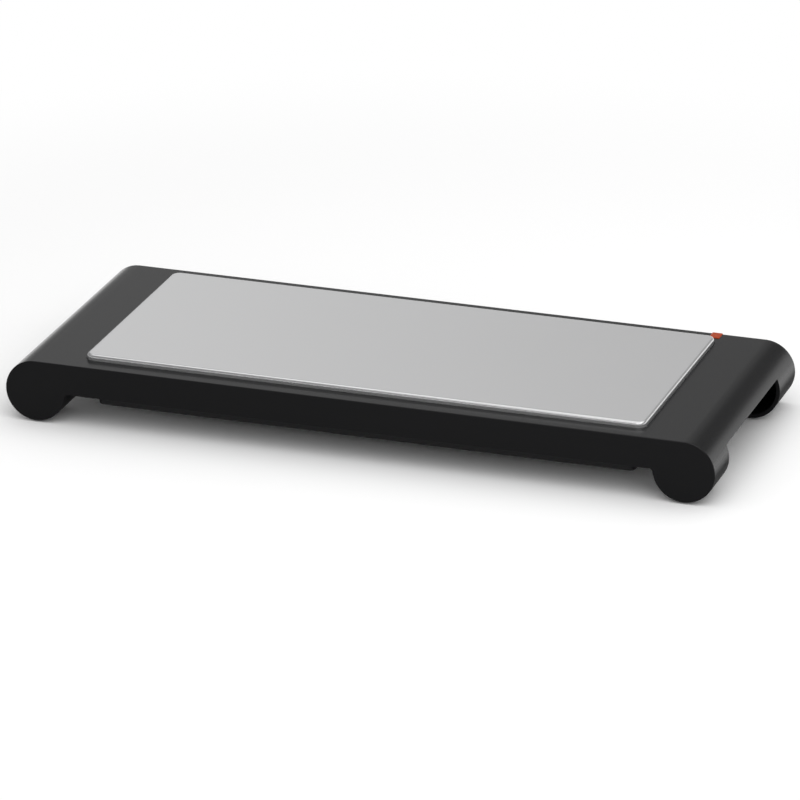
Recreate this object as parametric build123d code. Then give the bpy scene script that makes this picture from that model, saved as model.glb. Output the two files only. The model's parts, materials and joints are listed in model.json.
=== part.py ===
from build123d import *
import os

# A flat countertop plate warmer. Millimetres. X runs along its length, the front faces -Y,
# and Z is the height above the surface that it stands on. The origin is under its middle.

# Warming plate: one pressed stainless tray, upside down.
PLATE_LENGTH = 395.0
PLATE_WIDTH = 170.0
PLATE_RISE = 4.0
PLATE_SHEET = 0.8
PLATE_BEND = 2.0
PLATE_CORNER = 6.0

# Casing: one black moulding round the plate, with round ends that come down as hollow feet.
END_BORDER = 52.5
SIDE_BORDER = 14.0
END_RADIUS = 21.4
WALL = 2.6
EDGE_ROUND = 0.8
SKIRT = 21.8
FOOT_ROUND = 2.5
FRONT_FOOT = 34.0
REAR_FOOT = 39.5
GRIP_LIP = 12.2

# Rubber pads, let into round pockets under the feet.
PAD_DIAMETER = 12.0
PAD_STAND = 1.2
PAD_SUNK = 1.4
PAD_CHAMFER = 0.4
PAD_CLEAR = 0.15

# Recess that the plate drops into, with its ledge and its seal.
RECESS_GAP = 0.5
RECESS_FLOOR = 3.6
LEDGE = 2.6
LEDGE_END = 13.5
LEDGE_SIDE = 13.0
OPENING_CORNER = 8.0
COLLAR = 2.0
SEAL_THICK = 1.0
SEAL_WIDTH = 5.0
SEAL_LIP = 1.2
SEAL_LIP_RISE = 1.8
SOFT_GAP = 0.3

# Heating: spreader, tubular element, saddle straps and studs.
SPREADER_END = 7.5
SPREADER_SIDE = 7.0
SPREADER_SHEET = 1.5
ELEMENT_DIAMETER = 6.6
ELEMENT_SIDE_GAP = 16.6
ELEMENT_LEFT_GAP = 17.6
ELEMENT_RIGHT_GAP = 34.6
BEND_ALLOWANCE = 0.1
BEAD_DIAMETER = 5.4
BEAD_LENGTH = 3.0
PIN_DIAMETER = 2.6
PIN_LENGTH = 12.0
STRAP_SHEET = 0.8
STRAP_WIDTH = 14.0
STRAP_TAIL = 6.0
STRAP_FIT = 0.05
STUD_DIAMETER = 4.0
STUD_FROM_LEG_END = 28.0
STUD_TIP = 1.0
THREAD_FIT = 0.05
STUD_HOLE = 4.5
NUT_FLATS = 7.0
NUT_HEIGHT = 3.2
WASHER_DIAMETER = 9.0
WASHER_SHEET = 0.8

# Heat shield and the mat that lies in it.
SHIELD_SHEET = 0.6
SHIELD_FLOOR = 22.0
SHIELD_SIDE_GAP = 1.4
SHIELD_FLANGE = 6.6
SHIELD_CORNER = 7.0
MAT_THICK = 4.2

# Thermostat and thermal fuse, both on the underside of the spreader.
THERMOSTAT_FROM_FUSE = 40.0
THERMOSTAT_DIAMETER = 15.8
THERMOSTAT_BODY_DIAMETER = 14.8
THERMOSTAT_HEIGHT = 9.0
THERMOSTAT_CUP = 2.4
THERMOSTAT_EARS = 32.0
THERMOSTAT_EAR_WIDTH = 8.0
THERMOSTAT_EAR_CORNER = 3.9
THERMOSTAT_CHAMFER = 0.6
THERMOSTAT_HOLES = 24.0
SMALL_SCREW = 3.0
SMALL_HEAD = 5.4
SMALL_HEAD_HEIGHT = 1.8
TAB_WIDTH = 6.3
TAB_SHEET = 0.8
TAB_REACH = 6.0
TAB_SPACING = 4.0
FUSE_FROM_STUDS = 20.0
FUSE_DIAMETER = 4.0
FUSE_LENGTH = 11.0
FUSE_SLEEVE_DIAMETER = 3.0
FUSE_SLEEVE = 5.0
CLIP_SHEET = 0.6
CLIP_WIDTH = 6.0
CLIP_EAR = 8.0
CLIP_SCREW_GAP = 0.6

# Rear wall: rocker switch, cord gland and the lamp with its lens.
SWITCH_FROM_LENS = 44.5
SWITCH_DROP = 12.6
SWITCH_LENGTH = 19.0
SWITCH_HEIGHT = 12.4
SWITCH_BODY_DEPTH = 14.4
SWITCH_BEZEL_LENGTH = 21.6
SWITCH_BEZEL_HEIGHT = 15.0
SWITCH_BEZEL = 1.8
SWITCH_WALL = 1.2
SWITCH_WELL = 9.0
SWITCH_TAB_PITCH = 11.0
SWITCH_TAB_REACH = 6.5
CUTOUT_FIT = 0.1
ROCKER_ANGLE = 11.0
ROCKER_SIDE_GAP = 0.3
ROCKER_PIVOT_DEPTH = 2.6
ROCKER_RISE = 2.0
ROCKER_KEEL = 4.6
ROCKER_KEEL_WIDTH = 4.0
ROCKER_DISH = 1.0
TRUNNION_DIAMETER = 2.0
TRUNNION_FIT = 0.05
TRUNNION_REACH = 0.7
GLAND_X = 60.0
GLAND_DROP = 11.0
GLAND_BODY = 10.8
GLAND_FLANGE = 14.0
GLAND_LIP = 1.5
GLAND_CORNER = 1.6
GLAND_BORE = 7.2
LENS_FROM_CORNER = 3.0
LENS_WIDTH = 7.4
LENS_DEPTH = 9.2
LENS_RISE = 0.5
LENS_SUNK = 3.2
LENS_PROUD = 0.4
LENS_ROUND = 0.5
LENS_FIT = 0.1
LAMP_DIAMETER = 5.0
LAMP_LENGTH = 9.0
HOLDER_WIDTH = 8.6
HOLDER_CLEAR = 0.8
HOLDER_HEIGHT = 10.6

# Terminal block, grommet and leads.
BLOCK_X = 95.0
BLOCK_LENGTH = 28.0
BLOCK_DEPTH = 14.0
BLOCK_HEIGHT = 10.0
BLOCK_DROP = 7.8
BLOCK_WALL_GAP = 1.4
POLE_PITCH = 9.0
POLE_ENTRY = 3.4
POLE_SCREW = 3.6
POLE_SCREW_SUNK = 0.8
POLE_SCREW_BITE = 0.2
BLOCK_BOSS_DIAMETER = 6.2
LEAD_DIAMETER = 2.4
LAMP_LEAD_DIAMETER = 1.6
LEAD_BEND = 2.8
LAMP_LEAD_BEND = 1.2
GROMMET_DROP = 12.3
GROMMET_HOLE = 8.0
GROMMET_FLANGE = 10.0
GROMMET_BORE = 6.6
GROMMET_LIP = 1.2
EARTH_TAG_DIAMETER = 9.0
EARTH_TAG_REACH = 13.0
EARTH_TONGUE = 4.0

# How the leads run past the pieces beside them.
PIN_TURN = 9.0
LEAD_STRAIGHT = 1.3
LEAD_BESIDE_LEG = 2.0
LEAD_UPPER_DROP = 9.4
LEAD_PAIR_X = 1.5
LEAD_PAIR_Z = 0.9
LEAD_CROSSING = 6.2
LEAD_UNDER_SHIELD = 3.9
LAMP_LEAD_APART = 1.2
LAMP_LEAD_LIFT = 1.4
LAMP_LEAD_LOW = 3.2
LAMP_LEAD_CORNER = 6.0
LAMP_LEAD_SLOPE = 18.0
LAMP_LEAD_DROP = 8.3
LAMP_LEAD_PASS = 2.8

# Base pan: pressed steel, closing the underside between the feet.
PAN_SHEET = 0.8
PAN_END_GAP = 7.4
PAN_SIDE_GAP = 11.4
PAN_FLOOR = 32.5
PAN_CORNER = 4.0
PAN_FLANGE_CORNER = 1.0
PAN_EDGE_ROUND = 1.2
PAN_RECESS = 1.0
PAN_GAP = 0.3
BASE_SCREW_FROM_SWITCH = 22.0
BASE_SCREW_INNER = 40.0
BASE_SCREW = 3.4
BASE_SCREW_LENGTH = 12.0
BASE_HEAD = 6.4
BASE_HEAD_HEIGHT = 2.2
BOSS_DIAMETER = 7.2
SCREW_FIT = 0.05
SCREW_END_GAP = 1.0
BOSS_ROOT = 0.2
CROSS_LENGTH = 3.6
CROSS_WIDTH = 0.8
VENT_LENGTH = 30.0
VENT_WIDTH = 3.0
VENT_PITCH = 12.0
VENT_ROWS = 2
VENTS_IN_A_ROW = 13

SIDES = (-1, 1)

# Sizes and places that follow from the sizes above.
LENGTH = PLATE_LENGTH + 2 * END_BORDER
DEPTH = PLATE_WIDTH + 2 * SIDE_BORDER
LEDGE_OPENING_LENGTH = PLATE_LENGTH - 2 * LEDGE_END
LEDGE_OPENING_WIDTH = PLATE_WIDTH - 2 * LEDGE_SIDE
SPREADER_LENGTH = PLATE_LENGTH - 2 * SPREADER_END
SPREADER_WIDTH = PLATE_WIDTH - 2 * SPREADER_SIDE
TOP = PAD_STAND + 2 * END_RADIUS
END_X = LENGTH / 2 - END_RADIUS
END_Z = TOP - END_RADIUS
UNDERSIDE = TOP - SKIRT
FRONT = -DEPTH / 2
REAR = DEPTH / 2
INNER_REAR = REAR - WALL
CHAMBER_X = END_X - END_RADIUS - FOOT_ROUND
LEDGE_TOP = TOP - RECESS_FLOOR
LEDGE_UNDER = LEDGE_TOP - LEDGE
PLATE_TOP = TOP + PLATE_RISE
PLATE_UNDER = PLATE_TOP - PLATE_SHEET
SPREADER_UNDER = PLATE_UNDER - SPREADER_SHEET
ELEMENT_Z = SPREADER_UNDER - ELEMENT_DIAMETER / 2
SHIELD_INSIDE = TOP - SHIELD_FLOOR
SHIELD_UNDER = SHIELD_INSIDE - SHIELD_SHEET
SHIELD_X = LEDGE_OPENING_LENGTH / 2 - SHIELD_SIDE_GAP
SHIELD_Y = LEDGE_OPENING_WIDTH / 2 - SHIELD_SIDE_GAP
PAN_LENGTH = 2 * (SHIELD_X + PAN_END_GAP)
PAN_WIDTH = 2 * (SHIELD_Y + PAN_SIDE_GAP)
PAN_FLANGE_UNDER = UNDERSIDE + PAN_RECESS
PAN_FLANGE_TOP = PAN_FLANGE_UNDER + PAN_SHEET
PAN_BOTTOM = TOP - PAN_FLOOR
BOSS_Y = INNER_REAR - BOSS_DIAMETER / 2 + BOSS_ROOT
LENS_X = PLATE_LENGTH / 2 - LENS_FROM_CORNER
HOLDER_DEPTH = SIDE_BORDER - WALL - RECESS_GAP - COLLAR - CUTOUT_FIT - HOLDER_CLEAR
SWITCH_X = LENS_X - SWITCH_FROM_LENS
END_SCREW_X = SWITCH_X + BASE_SCREW_FROM_SWITCH
BASE_SCREW_X = (-END_SCREW_X, -BASE_SCREW_INNER, BASE_SCREW_INNER, END_SCREW_X)
ELEMENT_LEFT = SHIELD_X - ELEMENT_LEFT_GAP
ELEMENT_RIGHT = SHIELD_X - ELEMENT_RIGHT_GAP
ELEMENT_LEG_PITCH = 2 * (SHIELD_Y - ELEMENT_SIDE_GAP) / 3
LEGS = [ELEMENT_LEG_PITCH * k for k in (-1.5, -0.5, 0.5, 1.5)]
STUD_PITCH = ELEMENT_RIGHT - STUD_FROM_LEG_END
FUSE_X = STUD_PITCH - FUSE_FROM_STUDS
THERMOSTAT_X = FUSE_X - THERMOSTAT_FROM_FUSE
STUDS = [(STUD_PITCH * i, side * ELEMENT_LEG_PITCH) for i in (-1, 0, 1) for side in SIDES]
SWITCH_Z = TOP - SWITCH_DROP
GLAND_Z = TOP - GLAND_DROP
PIVOT_Y = REAR + SWITCH_BEZEL - ROCKER_PIVOT_DEPTH
GROMMET_X = SWITCH_X + SWITCH_TAB_PITCH / 2 + LEAD_PAIR_X
GROMMET_Z = TOP - GROMMET_DROP
BLOCK_TOP = TOP - BLOCK_DROP
BLOCK_Y = INNER_REAR - BLOCK_WALL_GAP - BLOCK_DEPTH / 2
POLES = [BLOCK_X + POLE_PITCH * k for k in (-1, 0, 1)]


def slab(length, width, low, high, corner=0.0):
    """An upright block about the middle of the object, with rounded corners where they are given."""
    face = RectangleRounded(length, width, corner) if corner else Rectangle(length, width)
    return Pos(0, 0, low) * extrude(face, high - low)


def block(x, y, z):
    """A box between two limits along each axis."""
    return Pos(x[0], y[0], z[0]) * Box(
        x[1] - x[0], y[1] - y[0], z[1] - z[0], align=(Align.MIN, Align.MIN, Align.MIN)
    )


def peg(x, y, low, high, diameter):
    """An upright round bar."""
    return Pos(x, y, low) * extrude(Circle(diameter / 2), high - low)


def rod(x, z, front, back, diameter):
    """A round bar that lies along Y."""
    start = Plane((x, back, z), x_dir=(1, 0, 0), z_dir=(0, -1, 0))
    return start * extrude(Circle(diameter / 2), back - front)


def hex_nut(x, y, high):
    """A nut whose upper face is at the height given."""
    low = high - NUT_HEIGHT
    outer = Pos(x, y, low) * extrude(RegularPolygon(NUT_FLATS / 2, 6, major_radius=False), NUT_HEIGHT)
    return outer - peg(x, y, low, high, STUD_DIAMETER + 2 * THREAD_FIT)


def tube(points, diameter, bend):
    """A round tube along straight runs joined by arcs."""
    path = FilletPolyline(*points, radius=bend)
    start = Plane(origin=path @ 0, z_dir=path % 0)
    return sweep(start * Circle(diameter / 2), path=path)


def casing_outline():
    """The casing as it is seen from the front, in X and Z."""
    bar = Pos(0, TOP - SKIRT / 2) * Rectangle(2 * END_X, SKIRT)
    outline = bar + [Pos(side * END_X, END_Z) * Circle(END_RADIUS) for side in SIDES]
    low_corners = [v for v in outline.vertices() if abs(v.Y - UNDERSIDE) < 0.01]
    return fillet(low_corners, FOOT_ROUND)


def foot_hollow(side):
    """The space inside one round end, from the front wall to the rear wall."""
    reach = CHAMBER_X + WALL
    low = UNDERSIDE + WALL
    high = TOP - WALL
    upper = Pos((reach + END_X) / 2, (low + high) / 2) * Rectangle(END_X - reach, high - low)
    round_part = Pos(END_X, END_Z) * Circle(END_RADIUS - WALL)
    hollow = extrude(Plane.XZ * (upper + round_part), INNER_REAR, both=True)
    return hollow if side > 0 else mirror(hollow, Plane.YZ)


def grip_cut(side):
    """The finger gap between the front foot and the rear foot of one end."""
    along = (FRONT + FRONT_FOOT, REAR - REAR_FOOT)
    past = LENGTH / 2 + WALL
    cut = block((CHAMBER_X + WALL, past), along, (0, TOP - GRIP_LIP))
    cut += block((CHAMBER_X - WALL, past), along, (0, UNDERSIDE))
    return cut if side > 0 else mirror(cut, Plane.YZ)


def foot_places():
    """Where the four pads stand, with a name for each."""
    rows = (("front", FRONT + FRONT_FOOT / 2), ("rear", REAR - REAR_FOOT / 2))
    ends = (("left", -END_X), ("right", END_X))
    return {f"foot_pad_{row}_{end}": (x, y) for row, y in rows for end, x in ends}


def casing():
    body = extrude(Plane.XZ * casing_outline(), REAR, both=True)
    faces = body.faces().sort_by(Axis.Y)
    body = fillet(faces[0].edges() + faces[-1].edges(), EDGE_ROUND)
    body -= block((-CHAMBER_X, CHAMBER_X), (-INNER_REAR, INNER_REAR), (0, TOP - WALL))
    for side in SIDES:
        body -= foot_hollow(side)
        body -= grip_cut(side)
    recess_length = PLATE_LENGTH + 2 * RECESS_GAP
    recess_width = PLATE_WIDTH + 2 * RECESS_GAP
    recess_corner = PLATE_CORNER + RECESS_GAP
    body += slab(recess_length + 2 * COLLAR, recess_width + 2 * COLLAR, LEDGE_UNDER, TOP - WALL / 2,
                 recess_corner + COLLAR)
    body -= slab(recess_length, recess_width, LEDGE_TOP, TOP + WALL, recess_corner)
    body -= slab(LEDGE_OPENING_LENGTH, LEDGE_OPENING_WIDTH, LEDGE_UNDER - WALL, LEDGE_TOP + WALL,
                 OPENING_CORNER)
    for x in BASE_SCREW_X:
        for side in SIDES:
            body += peg(x, side * BOSS_Y, PAN_FLANGE_TOP, TOP - WALL / 2, BOSS_DIAMETER)
            body -= peg(x, side * BOSS_Y, PAN_FLANGE_TOP, PAN_FLANGE_TOP + BASE_SCREW_LENGTH,
                        BASE_SCREW + 2 * SCREW_FIT)
    x, y = block_screw_place()
    body += peg(x, y, BLOCK_TOP, TOP - WALL / 2, BLOCK_BOSS_DIAMETER)
    body -= peg(x, y, BLOCK_TOP, TOP - WALL, SMALL_SCREW + 2 * SCREW_FIT)
    for x, y in foot_places().values():
        body -= peg(x, y, 0, PAD_STAND + PAD_SUNK, PAD_DIAMETER + 2 * PAD_CLEAR)
    body -= block((SWITCH_X - SWITCH_LENGTH / 2 - CUTOUT_FIT, SWITCH_X + SWITCH_LENGTH / 2 + CUTOUT_FIT),
                  (INNER_REAR - WALL, REAR + WALL),
                  (SWITCH_Z - SWITCH_HEIGHT / 2 - CUTOUT_FIT, SWITCH_Z + SWITCH_HEIGHT / 2 + CUTOUT_FIT))
    body -= gland_block(GLAND_BODY + 2 * CUTOUT_FIT, 0, INNER_REAR - WALL, REAR + WALL)
    body -= lens_block(LENS_FIT)
    return body


def foot_pad(x, y):
    pad = peg(x, y, 0, PAD_STAND + PAD_SUNK, PAD_DIAMETER)
    return chamfer(pad.edges().group_by(Axis.Z)[0], PAD_CHAMFER)


def warming_plate():
    low = LEDGE_TOP + SEAL_THICK
    outer = slab(PLATE_LENGTH, PLATE_WIDTH, low, PLATE_TOP, PLATE_CORNER)
    outer = fillet(outer.faces().sort_by(Axis.Z)[-1].edges(), PLATE_BEND)
    inner = slab(PLATE_LENGTH - 2 * PLATE_SHEET, PLATE_WIDTH - 2 * PLATE_SHEET, low, PLATE_UNDER,
                 PLATE_CORNER - PLATE_SHEET)
    inner = fillet(inner.faces().sort_by(Axis.Z)[-1].edges(), PLATE_BEND - PLATE_SHEET)
    return outer - inner


def plate_seal():
    """A flat silicone ring under the plate's edge, with a lip inside it."""
    length = PLATE_LENGTH + 2 * RECESS_GAP - 2 * SOFT_GAP
    width = PLATE_WIDTH + 2 * RECESS_GAP - 2 * SOFT_GAP
    corner = PLATE_CORNER + RECESS_GAP - SOFT_GAP
    high = LEDGE_TOP + SEAL_THICK
    ring = slab(length, width, LEDGE_TOP, high, corner)
    lip_length = PLATE_LENGTH - 2 * PLATE_SHEET - 2 * SOFT_GAP
    lip_width = PLATE_WIDTH - 2 * PLATE_SHEET - 2 * SOFT_GAP
    lip_corner = PLATE_CORNER - PLATE_SHEET - SOFT_GAP
    ring += slab(lip_length, lip_width, LEDGE_TOP, high + SEAL_LIP_RISE, lip_corner)
    ring -= slab(lip_length - 2 * SEAL_LIP, lip_width - 2 * SEAL_LIP, high, high + SEAL_LIP_RISE + SEAL_THICK,
                 lip_corner - SEAL_LIP)
    return ring - slab(length - 2 * SEAL_WIDTH, width - 2 * SEAL_WIDTH, LEDGE_TOP, high, corner / 2)


def heat_spreader():
    sheet = slab(SPREADER_LENGTH, SPREADER_WIDTH, SPREADER_UNDER, PLATE_UNDER, PLATE_CORNER)
    for x, y in STUDS:
        sheet -= peg(x, y, SPREADER_UNDER, PLATE_UNDER, STUD_HOLE)
    return sheet


def heating_element():
    """Four legs in one serpentine, with both ends at the right."""
    far_left, near_left, near_right, far_right = LEGS
    left = -ELEMENT_LEFT
    right = ELEMENT_RIGHT
    corners = [(right, far_left), (left, far_left), (left, near_left), (right, near_left),
               (right, near_right), (left, near_right), (left, far_right), (right, far_right)]
    bend = ELEMENT_LEG_PITCH / 2 - BEND_ALLOWANCE
    return tube([(x, y, ELEMENT_Z) for x, y in corners], ELEMENT_DIAMETER, bend)


def element_ends():
    """The two ends of the element, as points in X and Y."""
    return [(ELEMENT_RIGHT, LEGS[0]), (ELEMENT_RIGHT, LEGS[-1])]


def lying(x, y, z, length, diameter):
    """A round bar that lies along X, from the point given."""
    return Plane((x, y, z), z_dir=(1, 0, 0)) * extrude(Circle(diameter / 2), length)


def element_beads():
    hole = PIN_DIAMETER + 2 * THREAD_FIT
    return [lying(x, y, ELEMENT_Z, BEAD_LENGTH, BEAD_DIAMETER) - lying(x, y, ELEMENT_Z, BEAD_LENGTH, hole)
            for x, y in element_ends()]


def element_pins():
    return [lying(x, y, ELEMENT_Z, PIN_LENGTH, PIN_DIAMETER) for x, y in element_ends()]


def under_arch(radius, rise):
    """An upside-down arch: a half circle below the axis, with straight sides up to the sheet above it."""
    low_half = Circle(radius) & Pos(0, -radius) * Rectangle(2 * radius, 2 * radius)
    return low_half + Pos(0, rise / 2) * Rectangle(2 * radius, rise)


def saddle(radius):
    """The room that one leg takes under the spreader, in Y and Z about the leg's axis."""
    return under_arch(radius, ELEMENT_DIAMETER / 2)


def element_strap(x, side):
    """One pressed strap over two legs, flat on the spreader between and beside them."""
    legs = [side * abs(y) for y in LEGS[2:]]
    reach = ELEMENT_DIAMETER / 2 + STRAP_SHEET + STRAP_TAIL
    low, high = min(legs) - reach, max(legs) + reach
    flat = Pos((low + high) / 2, SPREADER_UNDER - STRAP_SHEET / 2) * Rectangle(high - low, STRAP_SHEET)
    inside = ELEMENT_DIAMETER / 2 + STRAP_FIT
    section = flat + [Pos(y, ELEMENT_Z) * saddle(inside + STRAP_SHEET) for y in legs]
    section -= [Pos(y, ELEMENT_Z) * saddle(inside) for y in legs]
    strap = extrude(Plane.YZ * section, STRAP_WIDTH / 2, both=True)
    return Pos(x, 0, 0) * strap - peg(x, side * ELEMENT_LEG_PITCH, ELEMENT_Z, PLATE_UNDER, STUD_HOLE)


def element_straps():
    return [element_strap(STUD_PITCH * i, side) for i in (-1, 0, 1) for side in SIDES]


def strap_nuts():
    return [hex_nut(x, y, SPREADER_UNDER - STRAP_SHEET) for x, y in STUDS]


def stud_end():
    """The height of the studs' lower ends, below the nuts under the shield."""
    return SHIELD_UNDER - WASHER_SHEET - NUT_HEIGHT - STUD_TIP


def plate_studs():
    return [peg(x, y, stud_end(), PLATE_UNDER, STUD_DIAMETER) for x, y in STUDS]


def heat_shield():
    """A pressed tray whose flange bears on the underside of the ledge."""
    corner = SHIELD_CORNER
    outer = slab(2 * SHIELD_X, 2 * SHIELD_Y, SHIELD_UNDER, LEDGE_UNDER, corner)
    flange = slab(2 * (SHIELD_X + SHIELD_FLANGE), 2 * (SHIELD_Y + SHIELD_FLANGE), LEDGE_UNDER - SHIELD_SHEET,
                  LEDGE_UNDER, corner + SHIELD_FLANGE)
    inner = slab(2 * (SHIELD_X - SHIELD_SHEET), 2 * (SHIELD_Y - SHIELD_SHEET), SHIELD_INSIDE, LEDGE_UNDER,
                 corner - SHIELD_SHEET)
    tray = outer + flange - inner
    for x, y in STUDS:
        tray -= peg(x, y, SHIELD_UNDER, SHIELD_INSIDE, STUD_HOLE)
    return tray - rod(GROMMET_X, GROMMET_Z, SHIELD_Y - 2 * SHIELD_SHEET, SHIELD_Y + SHIELD_SHEET,
                      GROMMET_HOLE)


def insulation_mat():
    """A soft fibre mat on the floor of the shield."""
    inset = SHIELD_SHEET + SOFT_GAP
    mat = slab(2 * (SHIELD_X - inset), 2 * (SHIELD_Y - inset), SHIELD_INSIDE, SHIELD_INSIDE + MAT_THICK,
               SHIELD_CORNER - inset)
    for x, y in STUDS:
        mat -= peg(x, y, SHIELD_INSIDE, SHIELD_INSIDE + MAT_THICK, STUD_DIAMETER + 2 * SOFT_GAP)
    return mat


def earth_stud():
    """The stud that carries the earth tag, at the right of the rear row."""
    return STUDS[-1]


def shield_washers():
    hole = STUD_DIAMETER + 2 * THREAD_FIT
    rings = []
    for x, y in STUDS:
        if (x, y) != earth_stud():
            high = SHIELD_UNDER
            rings.append(peg(x, y, high - WASHER_SHEET, high, WASHER_DIAMETER)
                         - peg(x, y, high - WASHER_SHEET, high, hole))
    return rings


def shield_nuts():
    return [hex_nut(x, y, SHIELD_UNDER - WASHER_SHEET) for x, y in STUDS]


def earth_tag():
    """A ring tag in place of one washer, with a tongue towards the terminal block."""
    x, y = earth_stud()
    low = SHIELD_UNDER - WASHER_SHEET
    tag = peg(x, y, low, SHIELD_UNDER, EARTH_TAG_DIAMETER)
    tag += block((x - EARTH_TAG_REACH, x), (y - EARTH_TONGUE / 2, y + EARTH_TONGUE / 2), (low, SHIELD_UNDER))
    return tag - peg(x, y, low, SHIELD_UNDER, STUD_DIAMETER + 2 * THREAD_FIT)


def thermostat_cup():
    """The metal cup that senses the spreader, with its two ears."""
    low = SPREADER_UNDER - THERMOSTAT_CUP
    cup = peg(THERMOSTAT_X, 0, low, SPREADER_UNDER, THERMOSTAT_DIAMETER)
    ears = slab(THERMOSTAT_EARS, THERMOSTAT_EAR_WIDTH, SPREADER_UNDER - TAB_SHEET, SPREADER_UNDER,
                THERMOSTAT_EAR_CORNER)
    cup += Pos(THERMOSTAT_X, 0) * Rotation(0, 0, 45) * ears
    for x, y in thermostat_screw_places():
        cup -= peg(x, y, low, SPREADER_UNDER, SMALL_SCREW + 2 * SCREW_FIT)
    return cup


def thermostat_screw_places():
    reach = THERMOSTAT_HOLES / 2 / 2 ** 0.5
    return [(THERMOSTAT_X + side * reach, side * reach) for side in SIDES]


def small_screw(x, y, seat, length):
    """A screw driven upwards, with its head under the seat."""
    head = peg(x, y, seat - SMALL_HEAD_HEIGHT, seat, SMALL_HEAD)
    head = fillet(head.edges().group_by(Axis.Z)[0], SMALL_HEAD_HEIGHT / 3)
    return head + peg(x, y, seat, seat + length, SMALL_SCREW)


def thermostat_screws():
    return [small_screw(x, y, SPREADER_UNDER - TAB_SHEET, TAB_SHEET) for x, y in thermostat_screw_places()]


def thermostat_body():
    """The moulded housing under the cup."""
    high = SPREADER_UNDER - THERMOSTAT_CUP
    low = SPREADER_UNDER - THERMOSTAT_HEIGHT
    body = peg(THERMOSTAT_X, 0, low, high, THERMOSTAT_BODY_DIAMETER)
    return chamfer(body.edges().group_by(Axis.Z)[0], THERMOSTAT_CHAMFER)


def thermostat_tab_z():
    return SPREADER_UNDER - THERMOSTAT_HEIGHT - TAB_SHEET / 2


def thermostat_tabs():
    """Two blades under the housing, one towards each end of the object."""
    z = thermostat_tab_z()
    start = TAB_SPACING / 2
    end = THERMOSTAT_DIAMETER / 2 + TAB_REACH
    tabs = []
    for side in SIDES:
        limits = sorted((THERMOSTAT_X + side * start, THERMOSTAT_X + side * end))
        tabs.append(block(limits, (-TAB_WIDTH / 2, TAB_WIDTH / 2), (z - TAB_SHEET / 2, z + TAB_SHEET / 2)))
    return tabs


def fuse_z():
    return SPREADER_UNDER - FUSE_DIAMETER / 2 - SCREW_FIT


def thermal_fuse():
    """A cylinder along X with a sleeved tail at each end."""
    start = FUSE_X - FUSE_LENGTH / 2
    fuse = lying(start, 0, fuse_z(), FUSE_LENGTH, FUSE_DIAMETER)
    return fuse + lying(start - FUSE_SLEEVE, 0, fuse_z(), FUSE_LENGTH + 2 * FUSE_SLEEVE, FUSE_SLEEVE_DIAMETER)


def fuse_clip():
    """A saddle clip over the fuse, with one ear for its screw."""
    radius = FUSE_DIAMETER / 2 + STRAP_FIT
    rise = SPREADER_UNDER - fuse_z()
    flat = Pos(-CLIP_EAR / 2 - radius, SPREADER_UNDER - CLIP_SHEET / 2) * Rectangle(CLIP_EAR, CLIP_SHEET)
    section = flat + Pos(0, fuse_z()) * under_arch(radius + CLIP_SHEET, rise)
    section -= Pos(0, fuse_z()) * under_arch(radius, rise)
    clip = Pos(FUSE_X, 0, 0) * extrude(Plane.YZ * section, CLIP_WIDTH / 2, both=True)
    x, y = fuse_screw_place()
    return clip - peg(x, y, SPREADER_UNDER - CLIP_SHEET, SPREADER_UNDER, SMALL_SCREW + 2 * SCREW_FIT)


def fuse_screw_place():
    return FUSE_X, -FUSE_DIAMETER / 2 - CLIP_SHEET - SMALL_HEAD / 2 - CLIP_SCREW_GAP


def fuse_screw():
    x, y = fuse_screw_place()
    return small_screw(x, y, SPREADER_UNDER - CLIP_SHEET, CLIP_SHEET)


def shield_grommet():
    """A rubber ring in the shield's rear wall, for the leads."""
    wall_front = SHIELD_Y - SHIELD_SHEET
    ring = rod(GROMMET_X, GROMMET_Z, wall_front - GROMMET_LIP, wall_front, GROMMET_FLANGE)
    ring += rod(GROMMET_X, GROMMET_Z, SHIELD_Y, SHIELD_Y + GROMMET_LIP, GROMMET_FLANGE)
    ring += rod(GROMMET_X, GROMMET_Z, wall_front, SHIELD_Y, GROMMET_HOLE - 2 * SCREW_FIT)
    return ring - rod(GROMMET_X, GROMMET_Z, wall_front - GROMMET_LIP, SHIELD_Y + GROMMET_LIP, GROMMET_BORE)


def lens_block(grow):
    """The room that the lens takes in the casing's top rear edge, or the lens itself."""
    half = LENS_WIDTH / 2 + grow
    back = REAR + LENS_PROUD
    return block((LENS_X - half, LENS_X + half), (back - LENS_DEPTH - grow, back + grow),
                 (TOP - LENS_SUNK - grow, TOP + LENS_RISE + grow))


def indicator_lens():
    """An orange block in the rear edge, with a round stem down to the lamp."""
    lens = lens_block(0.0)
    upper = lens.faces().sort_by(Axis.Z)[-1].edges()
    upright = lens.edges().filter_by(Axis.Z)
    lens = fillet(upper + upright, LENS_ROUND)
    x, y = lamp_place()
    return lens + peg(x, y, TOP - LENS_SUNK - SEAL_THICK, TOP - LENS_SUNK, LAMP_DIAMETER)


def lamp_place():
    return LENS_X, INNER_REAR - HOLDER_DEPTH / 2 - CUTOUT_FIT


def holder_top():
    return TOP - LENS_SUNK - LENS_FIT


def lamp_holder():
    """A clip-on block under the lens with an upright bore for the lamp."""
    x, y = lamp_place()
    high = holder_top()
    holder = block((x - HOLDER_WIDTH / 2, x + HOLDER_WIDTH / 2), (y - HOLDER_DEPTH / 2, y + HOLDER_DEPTH / 2),
                   (high - HOLDER_HEIGHT, high))
    return holder - peg(x, y, high - HOLDER_HEIGHT, high, LAMP_DIAMETER + 2 * SCREW_FIT)


def neon_lamp():
    x, y = lamp_place()
    low = holder_top() - HOLDER_HEIGHT
    lamp = peg(x, y, low, low + LAMP_LENGTH, LAMP_DIAMETER)
    return fillet(lamp.edges().group_by(Axis.Z)[-1], LAMP_DIAMETER / 3)


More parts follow.
